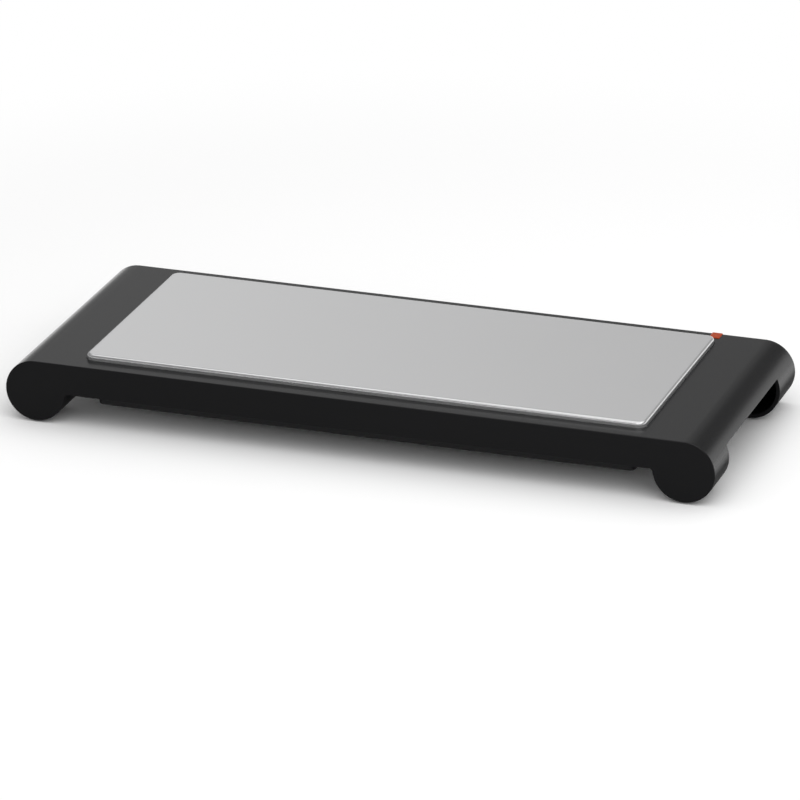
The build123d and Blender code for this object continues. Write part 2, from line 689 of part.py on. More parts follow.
def gland_block(width, low, front, back):
    """The room of the gland's body or of one flange, from a height up to half its width above the bore."""
    return block((GLAND_X - width / 2, GLAND_X + width / 2), (front, back), (low, GLAND_Z + width / 2))


def cord_gland():
    """A moulded bush in a slot of the rear wall, held up by the pan, where the mains cord would enter."""
    gland = gland_block(GLAND_FLANGE, UNDERSIDE, REAR, REAR + GLAND_LIP)
    gland = fillet(gland.edges().filter_by(Axis.Y), GLAND_CORNER)
    gland = fillet(gland.faces().sort_by(Axis.Y)[-1].edges(), GLAND_LIP / 2)
    gland += gland_block(GLAND_BODY, UNDERSIDE, INNER_REAR, REAR)
    gland += gland_block(GLAND_FLANGE, PAN_FLANGE_TOP + CUTOUT_FIT, INNER_REAR - GLAND_LIP, INNER_REAR)
    return gland - rod(GLAND_X, GLAND_Z, INNER_REAR - GLAND_LIP, REAR + GLAND_LIP, GLAND_BORE)


def switch_body():
    """The snap-in housing of the rocker switch, with the well that the rocker turns in."""
    x, z = SWITCH_X, SWITCH_Z
    back = REAR - SWITCH_BODY_DEPTH
    front = REAR + SWITCH_BEZEL
    body = block((x - SWITCH_LENGTH / 2, x + SWITCH_LENGTH / 2), (back, REAR),
                 (z - SWITCH_HEIGHT / 2, z + SWITCH_HEIGHT / 2))
    bezel = block((x - SWITCH_BEZEL_LENGTH / 2, x + SWITCH_BEZEL_LENGTH / 2), (REAR, front),
                  (z - SWITCH_BEZEL_HEIGHT / 2, z + SWITCH_BEZEL_HEIGHT / 2))
    bezel = fillet(bezel.edges().filter_by(Axis.Y), SWITCH_WALL)
    bezel = fillet(bezel.faces().sort_by(Axis.Y)[-1].edges(), SWITCH_WALL / 2)
    body += bezel
    well_length = SWITCH_LENGTH - 2 * SWITCH_WALL
    well_height = SWITCH_HEIGHT - 2 * SWITCH_WALL
    body -= block((x - well_length / 2, x + well_length / 2), (front - SWITCH_WELL, front),
                  (z - well_height / 2, z + well_height / 2))
    bearing = TRUNNION_DIAMETER + 2 * TRUNNION_FIT
    reach = well_height / 2 + TRUNNION_REACH + TRUNNION_FIT
    return body - peg(x, PIVOT_Y, z - reach, z + reach, bearing)


def switch_rocker():
    """The rocker, drawn level and then tipped to one stop, turning on two trunnions."""
    gap = ROCKER_SIDE_GAP
    height = SWITCH_HEIGHT - 2 * SWITCH_WALL - 2 * gap
    swing = SWITCH_LENGTH / 2 - SWITCH_WALL - gap
    high = ROCKER_PIVOT_DEPTH - SWITCH_BEZEL / 2 + ROCKER_RISE
    low = -ROCKER_PIVOT_DEPTH / 2
    high_x = (swing ** 2 - high ** 2) ** 0.5
    low_x = (swing ** 2 - low ** 2) ** 0.5
    keel_x = ROCKER_KEEL_WIDTH / 2
    outline = ThreePointArc((-high_x, high), (0, high - ROCKER_DISH), (high_x, high))
    outline += ThreePointArc((high_x, high), (swing, 0), (low_x, low))
    outline += Polyline((low_x, low), (keel_x, -ROCKER_KEEL), (-keel_x, -ROCKER_KEEL), (-low_x, low))
    outline += ThreePointArc((-low_x, low), (-swing, 0), (-high_x, high))
    rocker = extrude(make_face(outline), height / 2, both=True)
    reach = height / 2 + gap + TRUNNION_REACH
    rocker += Pos(0, 0, -reach) * extrude(Circle(TRUNNION_DIAMETER / 2), 2 * reach)
    return Pos(SWITCH_X, PIVOT_Y, SWITCH_Z) * Rotation(0, 0, ROCKER_ANGLE) * rocker


def switch_tabs():
    """Two blades out of the back of the switch."""
    back = REAR - SWITCH_BODY_DEPTH
    tabs = []
    for side in SIDES:
        x = SWITCH_X + side * SWITCH_TAB_PITCH / 2
        tabs.append(block((x - TAB_SHEET / 2, x + TAB_SHEET / 2), (back - SWITCH_TAB_REACH, back),
                          (SWITCH_Z - TAB_WIDTH / 2, SWITCH_Z + TAB_WIDTH / 2)))
    return tabs


def block_screw_place():
    return BLOCK_X + POLE_PITCH / 2, BLOCK_Y + BLOCK_DEPTH / 4


def terminal_block():
    """Three poles side by side, each with a wire way through and two screw wells above."""
    low = BLOCK_TOP - BLOCK_HEIGHT
    front = BLOCK_Y - BLOCK_DEPTH / 2
    back = BLOCK_Y + BLOCK_DEPTH / 2
    body = block((BLOCK_X - BLOCK_LENGTH / 2, BLOCK_X + BLOCK_LENGTH / 2), (front, back), (low, BLOCK_TOP))
    middle = (low + BLOCK_TOP) / 2
    wells = []
    for x in POLES:
        wells.append(rod(x, middle, front, back, POLE_ENTRY))
        wells += [peg(x, BLOCK_Y + side * BLOCK_DEPTH / 4, low, middle, POLE_SCREW) for side in SIDES]
    x, y = block_screw_place()
    wells.append(peg(x, y, low, BLOCK_TOP, SMALL_SCREW + 2 * SCREW_FIT))
    return body - wells


def terminal_screws():
    """The clamping screws of the poles, seen from below."""
    low = BLOCK_TOP - BLOCK_HEIGHT
    tip = (low + BLOCK_TOP) / 2 - POLE_ENTRY / 2 + POLE_SCREW_BITE
    return [peg(x, BLOCK_Y + side * BLOCK_DEPTH / 4, low + POLE_SCREW_SUNK, tip, POLE_SCREW - 2 * SCREW_FIT)
            for x in POLES for side in SIDES]


def block_screw():
    x, y = block_screw_place()
    length = BLOCK_HEIGHT + (TOP - WALL - BLOCK_TOP) - SCREW_END_GAP
    return small_screw(x, y, BLOCK_TOP - BLOCK_HEIGHT, length)


def base_pan():
    """A pressed pan: a flange inside the casing's walls and a drawn middle, with vents."""
    flange = slab(2 * (CHAMBER_X - PAN_GAP), 2 * (INNER_REAR - PAN_GAP), PAN_FLANGE_UNDER, PAN_FLANGE_TOP,
                  PAN_FLANGE_CORNER)
    outer = slab(PAN_LENGTH, PAN_WIDTH, PAN_BOTTOM, PAN_FLANGE_TOP, PAN_CORNER)
    outer = fillet(outer.faces().sort_by(Axis.Z)[0].edges(), PAN_EDGE_ROUND)
    inner = slab(PAN_LENGTH - 2 * PAN_SHEET, PAN_WIDTH - 2 * PAN_SHEET, PAN_BOTTOM + PAN_SHEET,
                 PAN_FLANGE_TOP, PAN_CORNER - PAN_SHEET)
    inner = fillet(inner.faces().sort_by(Axis.Z)[0].edges(), PAN_EDGE_ROUND - PAN_SHEET)
    pan = flange + outer - inner
    for x in BASE_SCREW_X:
        for side in SIDES:
            pan -= peg(x, side * BOSS_Y, PAN_FLANGE_UNDER, PAN_FLANGE_TOP, BASE_SCREW + 4 * SCREW_FIT)
    slot = extrude(SlotOverall(VENT_LENGTH, VENT_WIDTH, rotation=90), PAN_SHEET)
    row_pitch = PAN_WIDTH / VENT_ROWS
    vents = GridLocations(VENT_PITCH, row_pitch, VENTS_IN_A_ROW, VENT_ROWS)
    return pan - [Pos(0, 0, PAN_BOTTOM) * place * slot for place in vents]


def base_screws():
    """Eight screws up through the pan's flange into the casing's bosses."""
    screws = []
    for x in BASE_SCREW_X:
        for side in SIDES:
            y = side * BOSS_Y
            head = peg(x, y, PAN_FLANGE_UNDER - BASE_HEAD_HEIGHT, PAN_FLANGE_UNDER, BASE_HEAD)
            head = fillet(head.edges().group_by(Axis.Z)[0], BASE_HEAD_HEIGHT / 3)
            slots = Rectangle(CROSS_LENGTH, CROSS_WIDTH) + Rectangle(CROSS_WIDTH, CROSS_LENGTH)
            cross = Pos(x, y, PAN_FLANGE_UNDER - BASE_HEAD_HEIGHT) * extrude(slots, BASE_HEAD_HEIGHT / 2)
            shank = peg(x, y, PAN_FLANGE_UNDER, PAN_FLANGE_UNDER + BASE_SCREW_LENGTH, BASE_SCREW)
            screws.append(head + shank - cross)
    return screws


def lead_routes():
    """The insulated leads inside, each as its corner points, its diameter and its bend."""
    tab_y = REAR - SWITCH_BODY_DEPTH - SWITCH_TAB_REACH
    live_tab = SWITCH_X - SWITCH_TAB_PITCH / 2
    load_tab = SWITCH_X + SWITCH_TAB_PITCH / 2
    pin_x = ELEMENT_RIGHT + PIN_LENGTH
    turn_x = pin_x + PIN_TURN
    near_y, far_y = LEGS[0], LEGS[-1]
    cup_z = thermostat_tab_z()
    cup_reach = THERMOSTAT_DIAMETER / 2 + TAB_REACH
    fuse_reach = FUSE_LENGTH / 2 + FUSE_SLEEVE
    fuse_left = FUSE_X - fuse_reach
    fuse_right = FUSE_X + fuse_reach
    earth_x, neutral_x, live_x = POLES
    pole_z = BLOCK_TOP - BLOCK_HEIGHT / 2
    block_front = BLOCK_Y - BLOCK_DEPTH / 2
    pole_y = block_front + BLOCK_DEPTH / 4
    channel_y = tab_y - LEAD_BEND - LEAD_STRAIGHT
    inner_y = far_y - LEAD_BESIDE_LEG
    upper_z = TOP - LEAD_UPPER_DROP
    grommet_x = GROMMET_X + LEAD_PAIR_X
    grommet_z = GROMMET_Z - LEAD_PAIR_Z
    bottom_z = grommet_z - LEAD_CROSSING
    under_z = SHIELD_UNDER - LEAD_UNDER_SHIELD
    tag_x, tag_y = earth_stud()
    tag_end = tag_x - EARTH_TAG_REACH
    lamp_x, lamp_y = lamp_place()
    lamp_left = lamp_x - LAMP_LEAD_APART
    lamp_right = lamp_x + LAMP_LEAD_APART
    lamp_z = holder_top() - HOLDER_HEIGHT
    over_flange = PAN_FLANGE_TOP + LAMP_LEAD_LIFT
    side_z = pole_z - LAMP_LEAD_LOW
    corner_x = PAN_LENGTH / 2 - LAMP_LEAD_CORNER
    low_z = grommet_z - LAMP_LEAD_DROP
    pass_x = neutral_x - LAMP_LEAD_PASS
    live = [(live_x, pole_y, pole_z), (live_x, channel_y, pole_z), (live_tab, channel_y, SWITCH_Z),
            (live_tab, tab_y, SWITCH_Z)]
    switched = [(load_tab, tab_y, SWITCH_Z), (load_tab, inner_y, SWITCH_Z),
                (THERMOSTAT_X - 26, inner_y, SWITCH_Z), (THERMOSTAT_X - 26, 0, cup_z),
                (THERMOSTAT_X - cup_reach, 0, cup_z)]
    to_fuse = [(THERMOSTAT_X + cup_reach, 0, cup_z), (THERMOSTAT_X + cup_reach + 5.6, 0, cup_z),
               (fuse_left - 5.5, 0, fuse_z()), (fuse_left, 0, fuse_z())]
    to_element = [(fuse_right, 0, fuse_z()), (fuse_right + 5.5, 0, fuse_z()), (fuse_right + 12.5, 0, upper_z),
                  (turn_x, 0, upper_z), (turn_x, far_y, upper_z), (turn_x, far_y, ELEMENT_Z),
                  (pin_x, far_y, ELEMENT_Z)]
    neutral = [(pin_x, near_y, ELEMENT_Z), (turn_x, near_y, ELEMENT_Z), (turn_x, near_y, grommet_z),
               (turn_x, inner_y, grommet_z), (grommet_x, far_y + 6, grommet_z),
               (grommet_x, channel_y + 2, grommet_z), (grommet_x, channel_y + 2, bottom_z),
               (neutral_x + 6, channel_y + 2, bottom_z), (neutral_x, channel_y - 0.5, pole_z),
               (neutral_x, pole_y, pole_z)]
    earth = [(tag_end, tag_y, SHIELD_UNDER - 1.4), (tag_end - 9, tag_y, SHIELD_UNDER - 2.9),
             (earth_x, tag_y + 16, under_z), (earth_x, channel_y, under_z), (earth_x, channel_y, pole_z),
             (earth_x, pole_y, pole_z)]
    lamp_switch = [(lamp_left, lamp_y, lamp_z), (lamp_left, lamp_y, lamp_z - 3.7),
                   (lamp_left, tab_y + 4, lamp_z - 3.7), (lamp_x - 13, tab_y + 2.4, SWITCH_Z),
                   (load_tab + TAB_SHEET / 2, tab_y + 2.4, SWITCH_Z)]
    lamp_neutral = [(lamp_right, lamp_y, lamp_z), (lamp_right, lamp_y, over_flange),
                    (lamp_right, tab_y + 1, over_flange), (corner_x, channel_y, over_flange),
                    (corner_x - LAMP_LEAD_SLOPE, channel_y, low_z),
                    (pass_x, channel_y, low_z), (pass_x, channel_y, side_z),
                    (pass_x, block_front, side_z)]
    thick = {"lead_live": live, "lead_switched": switched, "lead_to_fuse": to_fuse,
             "lead_to_element": to_element, "lead_neutral": neutral, "lead_earth": earth}
    thin = {"lead_lamp_switch": lamp_switch, "lead_lamp_neutral": lamp_neutral}
    routes = {name: (points, LEAD_DIAMETER, LEAD_BEND) for name, points in thick.items()}
    routes.update({name: (points, LAMP_LEAD_DIAMETER, LAMP_LEAD_BEND) for name, points in thin.items()})
    return routes


def pieces():
    """Every piece of the plate warmer by its node name."""
    parts = {
        "casing": casing(),
        "warming_plate": warming_plate(),
        "plate_seal": plate_seal(),
        "heat_spreader": heat_spreader(),
        "heating_element": heating_element(),
        "element_beads": element_beads(),
        "element_pins": element_pins(),
        "element_straps": element_straps(),
        "plate_studs": plate_studs(),
        "strap_nuts": strap_nuts(),
        "heat_shield": heat_shield(),
        "insulation_mat": insulation_mat(),
        "shield_washers": shield_washers(),
        "shield_nuts": shield_nuts(),
        "earth_tag": earth_tag(),
        "thermostat_cup": thermostat_cup(),
        "thermostat_body": thermostat_body(),
        "thermostat_tabs": thermostat_tabs(),
        "thermostat_screws": thermostat_screws(),
        "thermal_fuse": thermal_fuse(),
        "fuse_clip": fuse_clip(),
        "fuse_screw": fuse_screw(),
        "shield_grommet": shield_grommet(),
        "indicator_lens": indicator_lens(),
        "lamp_holder": lamp_holder(),
        "neon_lamp": neon_lamp(),
        "cord_gland": cord_gland(),
        "switch_body": switch_body(),
        "switch_rocker": switch_rocker(),
        "switch_tabs": switch_tabs(),
        "terminal_block": terminal_block(),
        "terminal_screws": terminal_screws(),
        "block_screw": block_screw(),
        "base_pan": base_pan(),
        "base_screws": base_screws(),
    }
    for name, (x, y) in foot_places().items():
        parts[name] = foot_pad(x, y)
    for name, (points, diameter, bend) in lead_routes().items():
        parts[name] = tube(points, diameter, bend)
    return parts


os.makedirs("parts", exist_ok=True)
for name, piece in pieces().items():
    shape = Compound(children=piece) if isinstance(piece, list) else piece
    export_step(shape, f"parts/{name}.step")
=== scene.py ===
"""The looks of a flat plate warmer: its visible pieces, their finishes and the studio. Metres."""

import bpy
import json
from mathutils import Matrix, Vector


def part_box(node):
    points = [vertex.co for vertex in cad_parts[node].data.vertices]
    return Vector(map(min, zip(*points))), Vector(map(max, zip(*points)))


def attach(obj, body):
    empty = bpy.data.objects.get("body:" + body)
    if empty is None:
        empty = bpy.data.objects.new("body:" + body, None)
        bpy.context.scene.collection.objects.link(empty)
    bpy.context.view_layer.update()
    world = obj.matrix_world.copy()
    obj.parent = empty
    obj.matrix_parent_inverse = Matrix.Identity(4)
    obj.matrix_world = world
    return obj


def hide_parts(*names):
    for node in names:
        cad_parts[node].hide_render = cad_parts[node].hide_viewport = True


bl_info = {
    "name": "Plate Warmer",
    "version": (1, 0, 0),
    "blender": (4, 5, 0),
    "location": "3D View > Sidebar > Plate Warmer",
    "description": "Builds the visible pieces of a plate warmer, their finishes and a plain studio",
    "category": "Object",
}

import json
import math

import bmesh
import bpy
from bpy.props import FloatProperty, FloatVectorProperty, IntProperty, PointerProperty
from mathutils import Matrix, Vector

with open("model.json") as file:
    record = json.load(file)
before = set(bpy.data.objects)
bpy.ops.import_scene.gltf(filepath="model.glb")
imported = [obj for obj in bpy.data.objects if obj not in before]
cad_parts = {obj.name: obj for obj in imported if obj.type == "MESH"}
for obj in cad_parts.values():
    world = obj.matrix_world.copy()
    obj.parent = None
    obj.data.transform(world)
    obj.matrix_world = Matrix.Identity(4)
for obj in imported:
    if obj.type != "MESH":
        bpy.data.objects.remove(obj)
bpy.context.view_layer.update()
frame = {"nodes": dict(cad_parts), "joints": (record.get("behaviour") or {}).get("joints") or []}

MM = 0.001
BODY = "warmer"
MOVING_BODY = "rocker"
FOOT_PADS = ("foot_pad_front_left", "foot_pad_front_right", "foot_pad_rear_left", "foot_pad_rear_right")
SIDES = (-1, 1)
# How near counts as in one place, as on a flat face, and as on a round that is made of flats
TINY = 1e-6
HAIR = 0.01 * MM
NEAR = 0.05 * MM
# How far a cutter reaches past what it cuts
PAST = 5 * MM
# A face looks up or down where its normal's Z is larger than this
FACING = 0.9
# An edge that turns more than the first stays sharp, and faces that turn less than the second become one
SHARP_ANGLE = math.radians(35)
FLAT_ANGLE = math.radians(0.5)
# Flats round a foot
ROUND_STEPS = 96

CASING_LOW, CASING_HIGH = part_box("casing")
PLATE_LOW, PLATE_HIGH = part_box("warming_plate")
PAN_LOW, PAN_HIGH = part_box("base_pan")
LENS_LOW, LENS_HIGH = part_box("indicator_lens")
GLAND_LOW, GLAND_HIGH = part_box("cord_gland")
SWITCH_LOW, SWITCH_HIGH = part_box("switch_body")
PIVOT = Vector(frame["joints"][0]["pos_m"])
TOP = CASING_HIGH.z
FRONT = CASING_LOW.y
REAR = CASING_HIGH.y
BUSH_MIDDLE = (GLAND_LOW + GLAND_HIGH) / 2
BORE_Z = GLAND_HIGH.z - (GLAND_HIGH.x - GLAND_LOW.x) / 2


def length(name, millimetres, description):
    """A size that a user may change, kept in metres."""
    return FloatProperty(name=name, description=description, default=millimetres * MM, unit="LENGTH",
                         precision=5)


def tint(name, colour, description):
    """A colour that a user may change."""
    return FloatVectorProperty(name=name, description=description, default=colour, size=3, subtype="COLOR",
                               min=0.0, max=1.0)


class CasingSizes(bpy.types.PropertyGroup):
    """The one-piece moulding with its round ends."""
    end_radius: length("End radius", 21.4, "Radius of the round ends, which come down as feet")
    wall: length("Wall", 2.6, "Thickness of the moulding")
    skirt: length("Skirt", 21.8, "Height of the front and rear walls")
    foot_round: length("Foot round", 2.5, "Radius where the wall's lower edge meets a foot")
    rim_round: length("Rim round", 0.8, "Rounding of the front and rear rims")
    lip_round: length("Lip round", 0.4, "Rounding of the edges of the recess and the finger gaps")
    front_foot: length("Front foot", 34.0, "Depth of the front feet")
    rear_foot: length("Rear foot", 39.5, "Depth of the rear feet")
    grip_lip: length("Grip lip", 12.2, "Height of the lip above each finger gap")
    recess_gap: length("Recess gap", 0.5, "Gap between the plate and its recess")
    recess_floor: length("Recess floor", 3.6, "Depth of the recess below the top")
    ledge: length("Ledge", 2.6, "Thickness of the ledge under the plate's edge")
    collar: length("Collar", 2.0, "Wall round the recess, inside the casing")
    opening_length: length("Opening length", 368.0, "Length of the opening inside the ledge")
    opening_width: length("Opening width", 144.0, "Width of the opening inside the ledge")
    opening_corner: length("Opening corner", 8.0, "Corner radius of the opening inside the ledge")
    lens_gap: length("Lens gap", 0.1, "Gap round the lens in its pocket")
    pad_gap: length("Pad gap", 0.15, "Gap round each rubber pad in its pocket")
    colour: tint("Casing colour", (0.0090, 0.0090, 0.0095), "Satin black of the moulding")


class PlateSizes(bpy.types.PropertyGroup):
    """The pressed steel plate."""
    sheet: length("Sheet", 0.8, "Thickness of the plate")
    bend: length("Bend", 2.0, "Outer radius of the bend round the top")
    corner: length("Corner", 6.0, "Corner radius, seen from above")
    colour: tint("Steel colour", (0.86, 0.86, 0.865), "Satin stainless steel")


class LensSizes(bpy.types.PropertyGroup):
    """The orange block over the lamp."""
    round: length("Lens round", 0.5, "Rounding of the block's edges")
    stem: length("Stem", 1.0, "Length of the round stem under the block")
    stem_diameter: length("Stem diameter", 5.0, "Diameter of the stem")
    colour: tint("Lens colour", (0.40, 0.048, 0.007), "Orange of the lens")


class PanSizes(bpy.types.PropertyGroup):
    """The pressed pan that closes the underside."""
    sheet: length("Pan sheet", 0.8, "Thickness of the pan")
    drawn_length: length("Drawn length", 380.0, "Length of the pan's lower part")
    drawn_width: length("Drawn width", 164.0, "Width of the pan's lower part")
    corner: length("Pan corner", 4.0, "Corner radius of the lower part, seen from above")
    edge_round: length("Edge round", 1.2, "Rounding of the lower edge")
    rim_corner: length("Rim corner", 1.0, "Corner radius of the flat rim, seen from above")
    vent_length: length("Vent length", 30.0, "Length of each vent slot")
    vent_width: length("Vent width", 3.0, "Width of each vent slot")
    vent_pitch: length("Vent pitch", 12.0, "Distance from slot to slot")
    vents: IntProperty(name="Vents", description="Slots in each of the two rows", default=13, min=1)
    colour: tint("Pan colour", (0.016, 0.016, 0.017), "Semi-matt black paint")


class PadSizes(bpy.types.PropertyGroup):
    """The rubber pads under the feet."""
    chamfer: length("Pad chamfer", 0.4, "Chamfer round the standing face")
    dish: length("Dish", 0.3, "Depth of the dish in the standing face")
    dish_rim: length("Dish rim", 2.2, "Width of the ring that stands on the table")
    colour: tint("Rubber colour", (0.018, 0.018, 0.018), "Black rubber of the pads")


class RearSizes(bpy.types.PropertyGroup):
    """The switch and the cord bush in the rear wall."""
    bezel: length("Bezel", 1.8, "How far the switch's bezel stands out")
    bezel_round: length("Bezel round", 1.2, "Corner rounding of the bezel")
    bezel_lap: length("Bezel lap", 1.3, "How far the bezel covers the wall round its opening")
    switch_wall: length("Switch wall", 1.2, "Wall of the switch round its well")
    well: length("Well", 9.0, "Depth of the well that the rocker turns in")
    rocker_angle: FloatProperty(name="Rocker angle", description="Tilt of the rocker at rest",
                                default=math.radians(11.0), subtype="ANGLE")
    rocker_gap: length("Rocker gap", 0.3, "Gap between the rocker and the well")
    rocker_rise: length("Rocker rise", 2.0, "Height of the rocker's ends above the bezel's middle plane")
    rocker_dish: length("Rocker dish", 1.0, "Depth of the hollow in the rocker's face")
    rocker_round: length("Rocker round", 0.25, "Rounding of the edges of the rocker's face")
    keel: length("Keel", 4.6, "Depth of the rocker below its pivot")
    keel_width: length("Keel width", 4.0, "Width of the rocker's lower end")
    switch_colour: tint("Switch colour", (0.008, 0.008, 0.008), "Black of the switch")
    bore: length("Bore", 7.2, "Bore of the cord bush")
    bore_round: length("Bore round", 0.5, "Rounding of the bore's outer mouth")
    bush_lip: length("Bush lip", 1.5, "Thickness of the bush's flanges")
    bush_corner: length("Bush corner", 1.6, "Corner rounding of the outer flange")
    bush_body: length("Bush body", 10.8, "Width of the bush where it passes through the wall")
    bush_gap: length("Bush gap", 0.1, "Gap between the bush and the slot and pan that hold it")
    bush_colour: tint("Bush colour", (0.009, 0.009, 0.009), "Black of the cord bush")


class StudioSettings(bpy.types.PropertyGroup):
    """The camera, the lamps and the even light."""
    azimuth: FloatProperty(name="Azimuth", description="Camera angle round the object, from the front",
                           default=math.radians(18.94), subtype="ANGLE")
    elevation: FloatProperty(name="Elevation", description="Camera angle above the table",
                             default=math.radians(21.60), subtype="ANGLE")
    roll: FloatProperty(name="Roll", description="Camera turn about its own axis",
                        default=math.radians(-0.13), subtype="ANGLE")
    distance: length("Distance", 4087.3, "From the camera to the point that it looks at")
    aim_x: length("Aim X", -1.26, "The point that the camera looks at, along the length")
    aim_z: length("Aim Z", 7.54, "The point that the camera looks at, above the table")
    lens: FloatProperty(name="Lens", description="Focal length in millimetres", default=270.0)
    ambient: FloatProperty(name="Ambient", description="Strength of the even light from all round",
                           default=0.70)
    key_power: FloatProperty(name="Key power", description="Power of the large overhead lamp", default=6.0,
                             unit="POWER")
    front_power: FloatProperty(name="Front power", description="Power of the lamp in front, at the right",
                               default=6.0, unit="POWER")


class PlateWarmerSettings(bpy.types.PropertyGroup):
    """All the sizes and colours together."""
    casing: PointerProperty(name="Casing", description="The moulding", type=CasingSizes)
    plate: PointerProperty(name="Plate", description="The warming plate", type=PlateSizes)
    lens: PointerProperty(name="Lens", description="The indicator lens", type=LensSizes)
    pan: PointerProperty(name="Pan", description="The base pan", type=PanSizes)
    pads: PointerProperty(name="Pads", description="The foot pads", type=PadSizes)
    rear: PointerProperty(name="Rear", description="The switch and the cord bush", type=RearSizes)
    studio: PointerProperty(name="Studio", description="Camera and light", type=StudioSettings)


# Shapes

def box_between(first, second):
    """A solid box between two opposite corners."""
    bm = bmesh.new()
    middle = (Vector(first) + Vector(second)) / 2
    size = Vector([abs(step) for step in Vector(second) - Vector(first)])
    bmesh.ops.create_cube(bm, size=1.0, matrix=Matrix.LocRotScale(middle, None, size))
    return bm


def bevel(bm, edges, width, segments):
    """Round some edges."""
    bmesh.ops.bevel(bm, geom=edges, offset=width, offset_type="OFFSET", affect="EDGES", segments=segments,
                    profile=0.5, material=-1, clamp_overlap=True)


def edges_along(bm, axis):
    """The edges of a box that run along one axis."""
    return [e for e in bm.edges if abs(getattr(e.verts[0].co, axis) - getattr(e.verts[1].co, axis)) > TINY]


def round_upright_edges(bm, corner, segments=10):
    """Round the vertical edges of a box."""
    bevel(bm, edges_along(bm, "z"), corner, segments)


def slab(size_x, size_y, low, high, corner):
    """A slab about the middle of the object, with rounded corners."""
    bm = box_between((-size_x / 2, -size_y / 2, low), (size_x / 2, size_y / 2, high))
    round_upright_edges(bm, corner)
    return bm


def bar(centre, direction, diameter, depth, segments=48):
    """A round bar about its middle point, along X, Y or Z."""
    turn = Vector((0, 0, 1)).rotation_difference(Vector(direction))
    bm = bmesh.new()
    bmesh.ops.create_cone(bm, cap_ends=True, segments=segments, radius1=diameter / 2, radius2=diameter / 2,
                          depth=depth, matrix=Matrix.LocRotScale(Vector(centre), turn, None))
    return bm


def upright_bar(x, y, low, high, diameter):
    """A round bar that stands upright between two heights."""
    return bar((x, y, (low + high) / 2), (0, 0, 1), diameter, high - low)


def run_to(bm, vert, place):
    """Draw a straight edge from a vertex to a place."""
    end = bmesh.ops.extrude_vert_indiv(bm, verts=[vert])["verts"][0]
    end.co = place
    return end


def arc_about(bm, vert, centre, axis, angle, steps):
    """Draw an arc from a vertex about a centre."""
    turned = bmesh.ops.spin(bm, geom=[vert], cent=centre, axis=axis, dvec=(0, 0, 0), angle=angle, steps=steps,
                            use_merge=False, use_duplicate=False)
    return next(g for g in turned["geom_last"] if isinstance(g, bmesh.types.BMVert))


def extrude_outline(bm, move):
    """Fill the drawn outline and give it a depth."""
    bmesh.ops.contextual_create(bm, geom=bm.edges[:])
    made = bmesh.ops.extrude_face_region(bm, geom=bm.faces[:])
    bmesh.ops.translate(bm, verts=[g for g in made["geom"] if isinstance(g, bmesh.types.BMVert)], vec=move)
    bmesh.ops.recalc_face_normals(bm, faces=bm.faces[:])


def as_object(name, bm):
    """Put a bmesh into the scene as an object at the origin."""
    mesh = bpy.data.meshes.new(name)
    bm.to_mesh(mesh)
    bm.free()
    piece = bpy.data.objects.new(name, mesh)
    bpy.context.scene.collection.objects.link(piece)
    return piece


def combine(bm, tools, operation):
    """Cut other solids out of a solid, or join them to it, and return the result."""
    base = as_object("working_solid", bm)
    helpers = [as_object("working_tool", tool) for tool in tools]
    for helper in helpers:
        step = base.modifiers.new("Combine", "BOOLEAN")
        step.object = helper
        step.operation = operation
        step.solver = "EXACT"
    bpy.context.view_layer.update()
    result = bmesh.new()
    result.from_object(base, bpy.context.evaluated_depsgraph_get())
    for used in [base, *helpers]:
        mesh = used.data
        bpy.data.objects.remove(used)
        bpy.data.meshes.remove(mesh)
    bmesh.ops.remove_doubles(result, verts=result.verts[:], dist=TINY)
    bmesh.ops.dissolve_degenerate(result, edges=result.edges[:], dist=TINY)
    bmesh.ops.dissolve_limit(result, angle_limit=FLAT_ANGLE, verts=result.verts[:], edges=result.edges[:])
    return result


def cut(bm, *tools):
    """Take other solids out of a solid."""
    return combine(bm, tools, "DIFFERENCE")


def join(bm, *tools):
    """Join other solids to a solid."""
    return combine(bm, tools, "UNION")


def sharp_edges(bm, where):
    """The outside corners of a solid that lie where a test says."""
    return [e for e in bm.edges if len(e.link_faces) == 2 and e.is_convex
            and e.calc_face_angle() > SHARP_ANGLE and all(where(v.co) for v in e.verts)]


def weigh_normals(piece):
    """Keep the flats flat, so that only the rounded edges shade."""
    weights = piece.modifiers.new("Weighted normals", "WEIGHTED_NORMAL")
    weights.keep_sharp = True


def keep_piece(name, bm, material, nodes, body=BODY, weighted=True):
    """Finish a piece: shade it, give it its material, and let it stand for its CAD nodes."""
    for face in bm.faces:
        face.smooth = True
    for edge in bm.edges:
        edge.smooth = len(edge.link_faces) == 2 and edge.calc_face_angle() < SHARP_ANGLE
    piece = as_object(name, bm)
    piece.data.materials.append(material)
    if weighted:
        weigh_normals(piece)
    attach(piece, body)
    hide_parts(*nodes)
    return piece


# Finishes

MOULDED_VALUES = {"Grain": 2600.0, "Patches": 9.0}
ROLLED_VALUES = {"Lines": 2200.0, "Stretch": 0.012, "Patches": 7.0}
# How far the slow changes of tone move the colour
MOULDED_TONES = 0.06
ROLLED_TONES = 0.02
PLAIN_GLOSS = {"Specular IOR Level": 0.35}
# Where a normal's Y passes from a round end to an upright wall, and its Z from a lower face to an upper one
WALL_TURN = (0.75, 0.97)
UPPER_TURN = (-0.1, 0.32)
# Smooth steps up and down
RISE = (0.0, 1.0)
FALL = (1.0, 0.0)


def group_with(name, inputs, outputs):
    """A new shader group with its sockets, and its two end nodes."""
    tree = bpy.data.node_groups.new(name, "ShaderNodeTree")
    for title, value in inputs.items():
        socket = tree.interface.new_socket(title, in_out="INPUT", socket_type="NodeSocketFloat")
        socket.default_value = value
    for title in outputs:
        tree.interface.new_socket(title, in_out="OUTPUT", socket_type="NodeSocketFloat")
    return tree, tree.nodes.new("NodeGroupInput"), tree.nodes.new("NodeGroupOutput")


